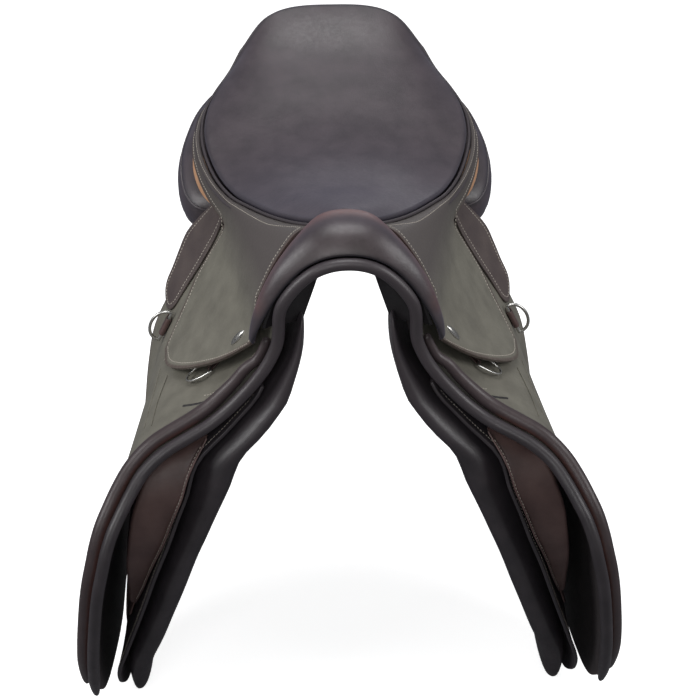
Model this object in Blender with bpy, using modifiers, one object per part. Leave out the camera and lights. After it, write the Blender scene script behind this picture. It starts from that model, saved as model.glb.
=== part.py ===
# Jumping saddle, modelled piece by piece as a saddler assembles it.
# Metres, +Z up, -Y towards the horse's head, +X the rider's left.
# The origin is the middle of the gullet lining's underside, where a rack arm carries the saddle.
import math

import bmesh
import bpy
import numpy as np
from mathutils import Matrix, Vector

# Seat
SEAT_HEAD_Y = -0.155        # front end of the seat cover, behind the pommel roll
CANTLE_Y = 0.250            # rear end of the seat cover
COVER_THICKNESS = 0.0025
FOAM_THICKNESS = 0.015
WEB_THICKNESS = 0.0018
TREE_THICKNESS = 0.009
WELT_RADIUS = 0.0018
CROWN_POWER = 2.4           # how evenly the seat's dish spreads across it
TREE_SLOT_WIDTH = 0.085
TREE_SLOT_LENGTH = 0.21
TREE_SLOT_Y = 0.03
CANTLE_SKIRT_Z = 0.088      # lower edge of the leather behind the cantle
CANTLE_FACING_HEIGHT = 0.018    # its height where it meets the side bands

# Pommel
POMMEL_FACE_Y = -0.2165     # plane of the welt that runs round the arch
PIPE_RADIUS = 0.0065        # front welt round the arch and down the flaps
POMMEL_PAD = 0.008
ROLL_BULGE = 0.013
HEAD_FRONT_Y = POMMEL_FACE_Y + 0.0135
HEAD_DEPTH = 0.036          # head of the tree, front to back
HEAD_THICKNESS = 0.006
LINING_THICKNESS = 0.003
GULLET_HALF_WIDTH = 0.0342
GULLET_FRONT_Y = POMMEL_FACE_Y + 0.0057
GULLET_REAR_Y = 0.244
GULLET_SWEEP = math.radians(80)

# Side leathers
JOCKEY_THICKNESS = 0.003
SKIRT_THICKNESS = 0.004
FLAP_THICKNESS = 0.0045
SWEAT_THICKNESS = 0.004
STRIP_THICKNESS = 0.0025
SLIVER_START = 0.58         # along the jockey's lower edge
SLIVER_END = 0.86
SLIVER_WIDTH = 0.006
BAR_POCKET = 0.014          # room under the skirt for the stirrup bar
BILLET_ROOM = 0.022         # room between sweat flap and flap for the girth straps
HINGE_Z = -0.160            # line on which the flap lifts
ROLL_RADIUS = 0.0075        # padded roll down the flap's front
ROLL_BACK = 0.006           # from the flap's front edge back to the middle of its roll
KNEE_Y = -0.200             # where the front section of the side is taken
PANEL_FLAT_Y = -0.150       # the panel draws inwards in front of this line
PANEL_ROLL_Y = -0.250
PANEL_EDGE = 0.4            # share of the thickness that is left at the panel's seams
PANEL_MIDDLE = 0.022        # thickness of the panel under the rider's leg
PANEL_SIDE_POWER = 6        # how evenly the flocking spreads across the panel
PANEL_END_POWER = 10        # and along it
SECTION_POINTS = 16         # points round a section of the rear panel
SECTION_RINGS = 13
SECTION_POWER = 0.75        # how square a section of the rear panel is

# Straps and metal
BILLET_WIDTH = 0.025
BILLET_THICKNESS = 0.0035
BILLET_PITCH = 0.032
BILLET_FRONT_Y = -0.140
BILLET_TOP_Z = -0.168
BILLET_END_Z = -0.452
BILLET_STANDOFF = 0.0008
BILLET_TIP = 0.55           # width of a strap's end as a share of the strap
GUARD_THICKNESS = 0.0025
GUARD_LOW_Z = -0.275
GUARD_HEIGHT = 0.060
GUARD_LAY = 0.0015          # between the guard and the straps that it slides on
GUARD_OVERHANG = 0.004      # how far the guard reaches past the outer straps
BAR_LENGTH = 0.098
BAR_HEIGHT = 0.018
BAR_BLADE = 0.0035
BAR_FOOT = 0.0025
BAR_POST = 0.010
CATCH_LENGTH = 0.012
CATCH_BEVEL = 0.0008
CATCH_PIVOT_IN = 0.003      # from the catch's lower rear corner to its pivot
BAR_Y = -0.100
BAR_Z = -0.050
DEE_WIRE = 0.0019
DEE_LENGTH = 0.038
DEE_REACH = 0.017
DEE_Y = 0.000
DEE_Z = -0.137
FRONT_DEE_WIRE = 0.0013
FRONT_DEE_Y = -0.135
FRONT_DEE_Z = -0.100
FRONT_DEE_WIDTH = 0.024
FRONT_DEE_DROP = 0.030
FRONT_DEE_TIP = 0.0015      # how deep its lower end hangs below the flap's outer face
FRONT_DEE_LIFT = 0.0042     # from the pocket's floor to the middle of the wire
CHAPE_THICKNESS = 0.0012
CHAPE_WIDTH = 0.022
CHAPE_TAIL = 0.016
FRONT_CHAPE_WIDTH = 0.013
FRONT_CHAPE_TAIL = 0.013
STUD_Y = -0.168
STUD_Z = -0.055
STUD_LENGTH = 0.022
STUD_WIDTH = 0.0075
STUD_HEIGHT = 0.0022

GAP = 0.0003                # between pieces that touch
LAY = 0.0006                # between curved leathers that lie on each other
PAD_LAY = 0.0012            # between a padded piece and the leather over it
SKIRT_LAY = 0.0010          # between the skirt and the flap under it
THIGH_LAY = 0.0007          # between the thigh block and the sweat flap
BLOCK_LAY = 0.0025          # between the knee block's seam and the sweat flap
PANEL_LAY = 0.0024          # between the panel and its sweat flap

parts = bpy.data.collections.new("jumping_saddle")
cutters = bpy.data.collections.new("cutters")
materials = {}


def clear_scene():
    for item in list(bpy.data.objects):
        bpy.data.objects.remove(item, do_unlink=True)
    bpy.context.scene.collection.children.link(parts)
    bpy.context.scene.collection.children.link(cutters)


def material(name, color, roughness, metallic=0.0):
    if name not in materials:
        made = bpy.data.materials.new(name)
        made.use_nodes = True
        shader = made.node_tree.nodes["Principled BSDF"]
        shader.inputs["Base Color"].default_value = (*color, 1.0)
        shader.inputs["Roughness"].default_value = roughness
        shader.inputs["Metallic"].default_value = metallic
        materials[name] = made
    return materials[name]


BROWN = ("brown calf", (0.062, 0.052, 0.056), 0.42)
OLIVE = ("olive brown calf", (0.115, 0.108, 0.085), 0.55)
EDGE = ("reddish brown leather", (0.075, 0.048, 0.040), 0.5)
LINING = ("black lining leather", (0.012, 0.011, 0.012), 0.6)
NATURAL = ("natural leather", (0.56, 0.32, 0.19), 0.6)
STEEL = ("stainless steel", (0.62, 0.62, 0.60), 0.25, 1.0)
FOAM = ("latex foam", (0.75, 0.68, 0.50), 0.9)
WEB = ("woven webbing", (0.55, 0.52, 0.44), 0.9)
BEECH = ("laminated beech", (0.50, 0.34, 0.19), 0.6)


# Curves and patches

def smooth_curve(points):
    """A smooth curve through points, read from 0 to 1 along its chord length."""
    knots = np.array(points, float)
    steps = np.linalg.norm(np.diff(knots, axis=0), axis=1)
    along = np.concatenate([[0.0], np.cumsum(steps)]) / steps.sum()
    slopes = np.gradient(knots, along, axis=0)

    def read(t):
        i = int(np.clip(np.searchsorted(along, t, side="right") - 1, 0, len(along) - 2))
        span = along[i + 1] - along[i]
        s = (t - along[i]) / span
        return ((2 * s**3 - 3 * s**2 + 1) * knots[i] + (s**3 - 2 * s**2 + s) * span * slopes[i]
                + (3 * s**2 - 2 * s**3) * knots[i + 1] + (s**3 - s**2) * span * slopes[i + 1])
    return read


def profile(pairs):
    """A smooth value that depends on one coordinate, given as (coordinate, value) pairs."""
    knots = np.array(sorted(pairs), float)
    xs, values = knots[:, 0], knots[:, 1]
    slopes = np.gradient(values, xs)

    def read(x):
        x = min(max(x, xs[0]), xs[-1])
        i = int(np.clip(np.searchsorted(xs, x, side="right") - 1, 0, len(xs) - 2))
        span = xs[i + 1] - xs[i]
        s = (x - xs[i]) / span
        return float((2 * s**3 - 3 * s**2 + 1) * values[i] + (s**3 - 2 * s**2 + s) * span * slopes[i]
                     + (3 * s**2 - 2 * s**3) * values[i + 1] + (s**3 - s**2) * span * slopes[i + 1])
    return read


def ease(x, start, end):
    """0 at start, 1 at end, smooth between."""
    t = min(max((x - start) / (end - start), 0.0), 1.0)
    return t * t * (3 - 2 * t)


def patch(bottom, top, front, rear):
    """A surface filled in between four edge curves: u runs front to rear, v bottom to top."""
    low, high = smooth_curve(bottom), smooth_curve(top)
    fore, aft = smooth_curve(front), smooth_curve(rear)

    def read(u, v):
        corners = ((1 - u) * (1 - v) * low(0) + u * (1 - v) * low(1)
                   + (1 - u) * v * high(0) + u * v * high(1))
        return (1 - v) * low(u) + v * high(u) + (1 - u) * fore(v) + u * aft(v) - corners
    return read


# Reference surfaces of the left side: x as a function of y and z

side_middle = profile([(0.05, 0.108), (0.03, 0.112), (-0.02, 0.126), (-0.08, 0.161), (-0.12, 0.187),
                       (-0.16, 0.206), (-0.20, 0.217), (-0.26, 0.230), (-0.34, 0.244),
                       (-0.43, 0.256), (-0.52, 0.260)])
side_front = profile([(0.066, 0.058), (0.016, 0.081), (-0.047, 0.096), (-0.09, 0.130),
                      (-0.12, 0.165), (-0.16, 0.212), (-0.20, 0.238), (-0.254, 0.2545),
                      (-0.33, 0.267), (-0.43, 0.276), (-0.52, 0.277)])


def outer_x(y, z):
    """Outer face of the flap."""
    share = min(max(y / KNEE_Y, 0.0), 1.25)
    return side_middle(z) + share * (side_front(z) - side_middle(z))


knee_room = profile([(0.05, 0.0), (-0.10, 0.0), (-0.16, 0.028), (-0.20, 0.046), (-0.25, 0.045),
                     (-0.30, 0.035), (-0.35, 0.024), (-0.40, 0.011), (-0.44, 0.0), (-0.52, 0.0)])


def sweat_x(y, z):
    """Outer face of the sweat flap: it lies on the panel, under the girth straps and the knee block."""
    upper = ease(z, -0.160, -0.100)
    point_room = BAR_POCKET + FLAP_THICKNESS + HEAD_THICKNESS + 3 * PAD_LAY
    room = BILLET_ROOM + (point_room - BILLET_ROOM) * upper
    slope = (outer_x(y, z + 0.01) - outer_x(y, z - 0.01)) / 0.02
    return (outer_x(y, z) - room * math.hypot(1.0, slope)
            - knee_room(z) * ease(y, PANEL_FLAT_Y, PANEL_ROLL_Y))


panel_front = profile([(0.05, 0.012), (-0.05, 0.020), (-0.09, 0.036), (-0.15, 0.052), (-0.25, 0.048),
                       (-0.35, 0.044), (-0.42, 0.044), (-0.46, 0.034), (-0.52, 0.022)])


def panel_thickness(y, z):
    roll = ease(y, PANEL_FLAT_Y, PANEL_ROLL_Y)
    return PANEL_MIDDLE * (1 - roll) + panel_front(z) * roll


def on_surface(surface, y, z, depth, side=1):
    """The point of a side surface at y and z, moved inwards along its normal by depth."""
    step = 0.002
    dy = (surface(y + step, z) - surface(y - step, z)) / (2 * step)
    dz = (surface(y, z + step) - surface(y, z - step)) / (2 * step)
    normal = Vector((1.0, -dy, -dz)).normalized()
    point = Vector((surface(y, z), y, z)) - normal * depth
    return Vector((side * point.x, point.y, point.z))


# Mesh makers

def add_object(name, mesh, look, smooth=True):
    item = bpy.data.objects.new(name, mesh)
    parts.objects.link(item)
    item.data.materials.append(material(*look))
    if smooth:
        mesh.shade_smooth()
        mesh.set_sharp_from_angle(angle=math.radians(40))
    return item


def grid(surface, columns, rows, flip=False):
    """A grid of quads whose points surface(u, v) gives."""
    bm = bmesh.new()
    bmesh.ops.create_grid(bm, x_segments=columns, y_segments=rows, size=1.0)
    for vert in bm.verts:
        vert.co = surface((vert.co.x + 1) / 2, (vert.co.y + 1) / 2)
    if flip:
        bmesh.ops.reverse_faces(bm, faces=bm.faces)
    return bm


def finish(bm, name):
    mesh = bpy.data.meshes.new(name)
    bm.to_mesh(mesh)
    bm.free()
    return mesh


def leather(name, surface, columns, rows, thickness, look, flip=False):
    """An open grid with the leather's thickness on its inner side."""
    item = add_object(name, finish(grid(surface, columns, rows, flip), name), look)
    solid = item.modifiers.new("thickness", "SOLIDIFY")
    solid.thickness = thickness
    solid.offset = -1
    solid.use_even_offset = True
    return item


def pad(name, outer, inner, columns, rows, look, levels=0):
    """A closed form between two grids."""
    bm = grid(outer, columns, rows)
    back = finish(grid(inner, columns, rows, True), name + "_back")
    bm.from_mesh(back)
    bpy.data.meshes.remove(back)
    rim = [edge for edge in bm.edges if edge.is_boundary]
    bmesh.ops.bridge_loops(bm, edges=rim)
    bmesh.ops.recalc_face_normals(bm, faces=bm.faces)
    item = add_object(name, finish(bm, name), look)
    if levels:
        soft = item.modifiers.new("soft", "SUBSURF")
        soft.levels = levels
        soft.render_levels = levels
    return item


def tube(name, points, radius, look, sides=2, closed=False):
    curve = bpy.data.curves.new(name, "CURVE")
    curve.dimensions = "3D"
    curve.bevel_depth = radius
    curve.bevel_resolution = sides
    curve.use_fill_caps = not closed
    spline = curve.splines.new("POLY")
    spline.points.add(len(points) - 1)
    spline.use_cyclic_u = closed
    for place, point in zip(spline.points, points):
        place.co = (*point, 1.0)
    item = bpy.data.objects.new(name, curve)
    parts.objects.link(item)
    curve.materials.append(material(*look))
    return item


# Seat: rim of the left half from pommel to cantle, then the cantle and the front end

SEAT_RIM = [(0.030, SEAT_HEAD_Y + 0.005, 0.073), (0.047, -0.125, 0.063), (0.069, -0.090, 0.052),
            (0.093, -0.045, 0.041), (0.118, 0.000, 0.035), (0.137, 0.045, 0.040),
            (0.150, 0.100, 0.060), (0.146, 0.140, 0.075), (0.135, 0.165, 0.086),
            (0.117, 0.195, 0.101), (0.105, 0.212, 0.118)]
CANTLE_HALF = [(0.105, 0.212, 0.118), (0.073, CANTLE_Y - 0.010, 0.148), (0.0, CANTLE_Y, 0.157)]
CANTLE_FACING = SEAT_RIM[-3:] + CANTLE_HALF[1:]
HEAD_HALF = [(0.030, SEAT_HEAD_Y + 0.005, 0.073), (0.0, SEAT_HEAD_Y, 0.0885)]
seat_middle = profile([(SEAT_HEAD_Y, 0.0885), (-0.10, 0.073), (-0.03, 0.056), (0.03, 0.055),
                       (0.09, 0.070), (0.15, 0.097), (0.20, 0.124), (0.235, 0.148), (CANTLE_Y, 0.157)])


def mirror_points(points):
    return [(-x, y, z) for x, y, z in points]


def both_halves(half):
    """A half curve that ends in the middle plane, run from the right side to the left."""
    return mirror_points(half) + half[-2::-1]


seat_plan = patch(both_halves(HEAD_HALF), both_halves(CANTLE_HALF), mirror_points(SEAT_RIM), SEAT_RIM)


def seat_top(u, v):
    point = Vector(seat_plan(u, v))
    middle = seat_plan(0.5, v)
    across = abs(2 * u - 1)
    point.z += (seat_middle(middle[1]) - middle[2]) * (1 - across**CROWN_POWER)
    return point


def seat_layer(depth, side_inset=0.0, head_inset=0.0, cantle_inset=0.0):
    """The seat's surface at a depth below the cover, drawn in from its edges."""
    def read(u, v):
        u = side_inset + (1 - 2 * side_inset) * u
        v = head_inset + (1 - head_inset - cantle_inset) * v
        step = 0.01
        low_u, high_u = max(u - step, 0.0), min(u + step, 1.0)
        low_v, high_v = max(v - step, 0.0), min(v + step, 1.0)
        across = seat_top(high_u, v) - seat_top(low_u, v)
        along = seat_top(u, high_v) - seat_top(u, low_v)
        return seat_top(u, v) - across.cross(along).normalized() * depth
    return read


def build_seat():
    foam_depth = COVER_THICKNESS + PAD_LAY
    web_depth = foam_depth + FOAM_THICKNESS + PAD_LAY
    tree_depth = web_depth + WEB_THICKNESS + PAD_LAY
    leather("seat_cover", seat_top, 12, 16, COVER_THICKNESS, BROWN)
    leather("seat_foam", seat_layer(foam_depth, 0.03, 0.03, 0.045), 10, 12, FOAM_THICKNESS, FOAM)
    leather("seat_webbing", seat_layer(web_depth, 0.26, 0.06, 0.08), 5, 13, WEB_THICKNESS, WEB)
    tree = leather("tree", seat_layer(tree_depth, 0.07, 0.05, 0.095), 8, 11, TREE_THICKNESS, BEECH)
    opening = bmesh.new()
    bmesh.ops.create_cone(opening, cap_ends=True, segments=24, radius1=0.5, radius2=0.5, depth=0.4)
    bmesh.ops.scale(opening, vec=(TREE_SLOT_WIDTH, TREE_SLOT_LENGTH, 1), verts=opening.verts)
    bmesh.ops.translate(opening, vec=(0, TREE_SLOT_Y, 0.05), verts=opening.verts)
    cutter = bpy.data.objects.new("tree_slot", finish(opening, "tree_slot"))
    cutters.objects.link(cutter)
    cutter.hide_render = True
    cutter.display_type = "WIRE"
    cut = tree.modifiers.new("slot", "BOOLEAN")
    cut.operation = "DIFFERENCE"
    cut.object = cutter

    rim = smooth_curve(SEAT_RIM)
    end = smooth_curve(CANTLE_HALF)
    left = [rim(i / 20) for i in range(20)] + [end(i / 8) for i in range(8)]
    path = left + [end(1.0)] + mirror_points(left)[::-1]
    path = [Vector(point) for point in path]
    welt = []
    for i, point in enumerate(path):
        ahead = path[min(i + 1, len(path) - 1)] - path[max(i - 1, 0)]
        outward = Vector((ahead.y, -ahead.x, 0)).normalized()
        if outward.dot(Vector((point.x, point.y - 0.05, 0))) < 0:
            outward.negate()
        down = Vector((0, 0, COVER_THICKNESS + WELT_RADIUS + LAY))
        welt.append(point + outward * COVER_THICKNESS - down)
    tube("seat_welt", welt, WELT_RADIUS, BROWN, 1)


# Pommel: edges of the padded roll, from the middle to the left tip

ROLL_TOP = [(0.0, -0.160, 0.0905), (0.025, -0.163, 0.0868), (0.0475, -0.172, 0.067),
            (0.066, -0.182, 0.045), (0.0825, -0.190, 0.016), (0.092, -0.196, -0.012),
            (0.0955, -0.201, -0.036)]
ROLL_LOW = [(0.0, POMMEL_FACE_Y, 0.0655), (0.022, POMMEL_FACE_Y, 0.0625),
            (0.041, POMMEL_FACE_Y, 0.0535), (0.058, POMMEL_FACE_Y, 0.0375),
            (0.074, POMMEL_FACE_Y, 0.0145), (0.088, -0.2145, -0.013), (0.0985, -0.2115, -0.036)]
# Outer line of the tree's head, from the middle to the left point, as (x, z)
HEAD_LINE = [(0.0, 0.0605), (0.016, 0.0575), (0.030, 0.049), (0.043, 0.036), (0.054, 0.019),
             (0.063, 0.0), (0.070, -0.020), (0.076, -0.042), (0.086, -0.062)]
roll_top = smooth_curve(mirror_points(ROLL_TOP[::-1]) + ROLL_TOP[1:])
roll_low = smooth_curve(mirror_points(ROLL_LOW[::-1]) + ROLL_LOW[1:])


def pommel_surface(u, v):
    """u runs from the right tip to the left, v from the welt at the front to the seat."""
    low, top = Vector(roll_low(u)), Vector(roll_top(u))
    chord = top - low
    along = Vector(roll_top(min(u + 0.02, 1.0))) - Vector(roll_top(max(u - 0.02, 0.0)))
    outward = along.cross(chord).normalized()
    fullness = math.sin(math.pi * u) ** 0.6 * 0.75 + 0.25
    return low + chord * v + outward * ROLL_BULGE * fullness * math.sin(math.pi * v) ** 0.8


gullet_top = profile([(-0.21, 0.0500), (-0.17, 0.040), (-0.12, 0.018), (-0.06, 0.003), (0.0, 0.0),
                      (0.10, 0.001), (0.18, 0.012), (0.25, 0.030)])
gullet_rise = profile([(-0.21, 0.036), (-0.12, 0.018), (-0.04, 0.014), (0.0, 0.016), (0.25, 0.016)])


def gullet(u, v):
    y = GULLET_FRONT_Y + (GULLET_REAR_Y - GULLET_FRONT_Y) * v
    angle = GULLET_SWEEP * (2 * u - 1)
    return Vector((GULLET_HALF_WIDTH * math.sin(angle), y,
                   gullet_top(y) + LINING_THICKNESS - gullet_rise(y) * (1 - math.cos(angle))))


def build_pommel():
    leather("pommel_roll", pommel_surface, 22, 6, POMMEL_PAD, BROWN)
    head_line = smooth_curve([(-x, z) for x, z in HEAD_LINE[::-1]] + HEAD_LINE[1:])
    stack = BAR_POCKET + FLAP_THICKNESS + PAD_LAY

    def head(u, v):
        x, z = head_line(u)
        y = HEAD_FRONT_Y + HEAD_DEPTH * v
        leg = on_surface(outer_x, y, z, stack)
        point = Vector((abs(x), y, z)).lerp(leg, ease(z, 0.030, -0.005))
        return Vector((math.copysign(point.x, x), point.y, point.z))
    leather("tree_head", head, 20, 2, HEAD_THICKNESS, BEECH)
    leather("gullet_lining", gullet, 6, 9, LINING_THICKNESS, LINING)


def build_cantle_back():
    end = smooth_curve(CANTLE_FACING)

    def read(u, v):
        share = abs(2 * u - 1)
        point = Vector(end(1 - share))
        top = point + Vector((0.02 * point.x, 0.0035, -2 * WELT_RADIUS - COVER_THICKNESS - 1.5 * LAY))
        low = point + Vector((-0.02 * point.x, 0.004, 0))
        low.z = min(CANTLE_SKIRT_Z, top.z - CANTLE_FACING_HEIGHT)
        here = low + (top - low) * v
        here.x = here.x if u < 0.5 else -here.x
        return here
    leather("cantle_back", read, 20, 3, COVER_THICKNESS, BROWN)


# Side leathers: outlines in the side view, as (y, z)

SKIRT_LINE = [(-0.188, 0.005), (0.006, -0.013)]      # the skirt lifts on this line
SKIRT_TIP = (-0.197, -0.045)
SKIRT_CORNER = (-0.050, -0.137)
SKIRT_FRONT = [SKIRT_TIP, (-0.193, -0.020), SKIRT_LINE[0]]
SKIRT_LOW = [SKIRT_TIP, (-0.158, -0.092), (-0.122, -0.120), (-0.087, -0.136), SKIRT_CORNER]
SKIRT_REAR = [SKIRT_CORNER, (-0.022, -0.107), (0.002, -0.075), (0.012, -0.045), SKIRT_LINE[1]]
# Lower edge of the band beside the seat, as shares of the way down from the rim: (y, outwards, down)
BAND_EDGE = [(0.032, 0.012, 0.032), (0.060, 0.014, 0.026), (0.095, 0.014, 0.022),
             (0.125, 0.013, 0.020), (0.148, 0.011, 0.018), (0.164, 0.007, 0.015)]
# Where the jockey's upper edge is taken from the seat's rim
JOCKEY_RIM_Y = (-0.146, -0.115, -0.080, -0.040, 0.0, 0.040, 0.080, 0.120, 0.145, 0.162)

UPPER_FRONT = [(-0.245, HINGE_Z + 0.0005), (-0.215, -0.105), (-0.207, -0.045), (-0.205, -0.004)]
UPPER_REAR = [(0.050, HINGE_Z + 0.0005), (0.054, -0.080), (0.050, -0.022)]
FLAP_TOP = [(-0.246, HINGE_Z - 0.0005), (0.050, HINGE_Z - 0.0005)]
FLAP_FRONT = [(-0.262, -0.445), (-0.285, -0.400), (-0.305, -0.320), (-0.303, -0.250),
              (-0.283, -0.200), FLAP_TOP[0]]
FLAP_LOW = [(-0.262, -0.445), (-0.225, -0.474), (-0.160, -0.484), (-0.100, -0.475), (-0.070, -0.455)]
FLAP_REAR = [(-0.070, -0.455), (-0.035, -0.390), (0.000, -0.300), (0.030, -0.220), FLAP_TOP[1]]

SWEAT_FRONT = [(-0.215, -0.485), (-0.245, -0.430), (-0.262, -0.330), (-0.258, -0.250),
               (-0.236, -0.170), (-0.216, -0.115), (-0.208, -0.088)]
SWEAT_LOW = [(-0.215, -0.485), (-0.150, -0.495), (-0.080, -0.475)]
SWEAT_REAR = [(-0.080, -0.475), (-0.040, -0.360), (-0.005, -0.220), (0.015, -0.120), (0.020, -0.084)]
SWEAT_TOP = [(-0.208, -0.088), (0.020, -0.084)]
PANEL_FRONT = [(-0.200, -0.500), (-0.230, -0.430), (-0.248, -0.330), (-0.246, -0.240),
               (-0.236, -0.160), (-0.220, -0.080), (-0.213, -0.004)]
PANEL_LOW = [(-0.200, -0.500), (-0.160, -0.508), (-0.110, -0.490)]
PANEL_REAR = [(-0.110, -0.490), (-0.060, -0.370), (-0.020, -0.220), (0.000, -0.120), (0.000, -0.066)]
PANEL_TOP = [(-0.213, -0.004), (-0.150, -0.016), (-0.100, -0.040), (-0.050, -0.056), (0.000, -0.066)]
KNEE_FRONT = [(-0.228, -0.352), (-0.243, -0.300), (-0.252, -0.240), (-0.246, -0.195), (-0.228, -0.160),
              (-0.214, -0.145)]
KNEE_REAR = [(-0.216, -0.350), (-0.208, -0.300), (-0.200, -0.240), (-0.194, -0.195), (-0.194, -0.160),
             (-0.200, -0.145)]
# How much of the room between the sweat flap and the flap the knee block takes up
knee_fill = profile([(-0.352, 0.22), (-0.340, 0.30), (-0.300, 0.52), (-0.250, 0.66), (-0.200, 0.76),
                     (-0.165, 0.80), (-0.145, 0.66)])
THIGH_FRONT = [(-0.052, -0.350), (-0.040, -0.300), (-0.030, -0.255)]
STRIP_FRONT = [(0.018, -0.128), (0.028, -0.028)]
STRIP_REAR = [(0.041, -0.128), (0.048, -0.028)]
THIGH_REAR = [(-0.034, -0.345), (-0.016, -0.300), (-0.012, -0.260)]


def upper_depth(y, z):
    """The flap's top lies deeper under the skirt, where it makes room for the stirrup bar."""
    return BAR_POCKET * ease(z, -0.150, -0.104) * (1 - ease(y, -0.036, -0.008))


def side_patch(outline, surface, depth, side):
    """A patch given in the side view, laid on a side surface at a depth that may vary."""
    def read(u, v):
        y, z = outline(u, v)
        here = depth(y, z) if callable(depth) else depth
        return on_surface(surface, y, z, here, side)
    return read


def block_face(block, foot, fill, room, side):
    """The outer face of a knee or thigh block, which fills a share of the room under the flap."""
    under_flap = side_patch(block, outer_x, FLAP_THICKNESS + room, side)

    def read(u, v):
        return foot(u, v).lerp(under_flap(u, v), fill(block(u, v)[1]))
    return read


def rim_at(y):
    rim = smooth_curve(SEAT_RIM)
    low, high = 0.0, 1.0
    for _ in range(30):
        middle = (low + high) / 2
        if rim(middle)[1] < y:
            low = middle
        else:
            high = middle
    return Vector(rim(low))


def jockey_outline():
    """The fixed leather between the seat and the skirt, with its band along the cheek."""
    lift = SKIRT_THICKNESS + SKIRT_LAY
    line = []
    for i in range(6):
        share = i / 5
        y = SKIRT_LINE[0][0] + (SKIRT_LINE[1][0] - SKIRT_LINE[0][0]) * share
        z = SKIRT_LINE[0][1] + (SKIRT_LINE[1][1] - SKIRT_LINE[0][1]) * share + 2 * LAY
        line.append(on_surface(outer_x, y, z, -lift))
    band = [rim_at(y) + Vector((out, 0, -down)) for y, out, down in BAND_EDGE]
    low = line + band
    welt_room = Vector((COVER_THICKNESS + WELT_RADIUS + LAY + GAP, 0,
                        -COVER_THICKNESS - 2 * WELT_RADIUS - LAY - GAP))
    rim = [rim_at(y) + welt_room
           for y in JOCKEY_RIM_Y]
    front = [line[0]] + [Vector(point) + Vector((0.004, 0.0035, 0)) for point in ROLL_TOP[3:1:-1]] + [rim[0]]
    rear = [band[-1], rim[-1]]
    return patch(low, rim, front, rear)


def build_side(prefix, side):
    def flipped(surface):
        def read(u, v):
            point = Vector(surface(u, v))
            return Vector((side * point.x, point.y, point.z))
        return read

    right = side < 0
    jockey = jockey_outline()
    leather(prefix + "jockey", flipped(jockey), 22, 4, JOCKEY_THICKNESS, OLIVE, right)

    skirt = patch(SKIRT_LOW, SKIRT_LINE, SKIRT_FRONT, SKIRT_REAR)
    skirt_top = side_patch(skirt, outer_x, -SKIRT_THICKNESS - SKIRT_LAY, side)
    leather(prefix + "skirt", skirt_top, 10, 8, SKIRT_THICKNESS, OLIVE, right)

    upper = patch([UPPER_FRONT[0], UPPER_REAR[0]], [UPPER_FRONT[-1], UPPER_REAR[-1]],
                  UPPER_FRONT, UPPER_REAR)
    leather(prefix + "flap_upper", side_patch(upper, outer_x, upper_depth, side), 14, 10,
            FLAP_THICKNESS, OLIVE, right)

    flap = patch(FLAP_LOW, FLAP_TOP, FLAP_FRONT, FLAP_REAR)
    leather(prefix + "flap", side_patch(flap, outer_x, 0.0, side), 9, 12, FLAP_THICKNESS, OLIVE, right)

    sweat = patch(SWEAT_LOW, SWEAT_TOP, SWEAT_FRONT, SWEAT_REAR)
    leather(prefix + "sweat_flap", side_patch(sweat, sweat_x, 0.0, side), 12, 11, SWEAT_THICKNESS,
            BROWN, right)

    panel = patch(PANEL_LOW, PANEL_TOP, PANEL_FRONT, PANEL_REAR)
    panel_room = SWEAT_THICKNESS + PANEL_LAY

    def panel_inner(u, v):
        y, z = panel(u, v)
        point = on_surface(sweat_x, y, z, panel_room)
        crown = (1 - abs(2 * u - 1) ** PANEL_SIDE_POWER) * (1 - abs(2 * v - 1) ** PANEL_END_POWER)
        flocking = panel_thickness(y, z) * (PANEL_EDGE + (1 - PANEL_EDGE) * crown)
        return Vector((side * (point.x - flocking), point.y, point.z))
    pad(prefix + "panel", side_patch(panel, sweat_x, panel_room, side), panel_inner, 10, 14, BROWN)

    for name, front, rear, fill, room, below in (
            ("knee_block", KNEE_FRONT, KNEE_REAR, knee_fill, PAD_LAY, BLOCK_LAY),
            ("thigh_block", THIGH_FRONT, THIGH_REAR, lambda z: 1.0, LAY, THIGH_LAY)):
        block = patch([front[0], rear[0]], [front[-1], rear[-1]], front, rear)
        foot = side_patch(block, sweat_x, -below, side)
        pad(prefix + name, block_face(block, foot, fill, room, side), foot, 5, 8, EDGE)

    strip = patch([STRIP_FRONT[0], STRIP_REAR[0]], [STRIP_FRONT[1], STRIP_REAR[1]],
                  STRIP_FRONT, STRIP_REAR)
    leather(prefix + "rear_strip",
            side_patch(strip, outer_x, lambda y, z: upper_depth(y, z) - STRIP_THICKNESS - LAY, side),
            2, 6, STRIP_THICKNESS, EDGE, right)
    build_sliver(prefix, side, jockey)
    build_rear_panel(prefix, side)
    build_rolls(prefix, side)
    build_billets(prefix, side)
    build_stirrup_bar(prefix, side)
    build_dees(prefix, side)
    build_stud(prefix, side)


def build_sliver(prefix, side, jockey):
    """Natural leather edge of the seat's rail, which shows under the band."""
    def read(u, v):
        along = SLIVER_START + (SLIVER_END - SLIVER_START) * u
        edge, above = jockey(along, 0.0), jockey(along, 0.6)
        edge, above = Vector(edge), Vector(above)
        down = (edge - above).normalized()
        ahead = Vector(jockey(along + 0.01, 0.0)) - edge
        out = ahead.cross(above - edge).normalized()
        reach = SLIVER_WIDTH * math.sin(math.pi * (0.15 + 0.7 * u))
        point = above + (edge + down * reach - above) * (1 - v)
        point -= out * (JOCKEY_THICKNESS + PAD_LAY + LAY)
        return Vector((side * point.x, point.y, point.z))
    leather(prefix + "rail_edge", read, 10, 3, COVER_THICKNESS, NATURAL, side < 0)


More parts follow.
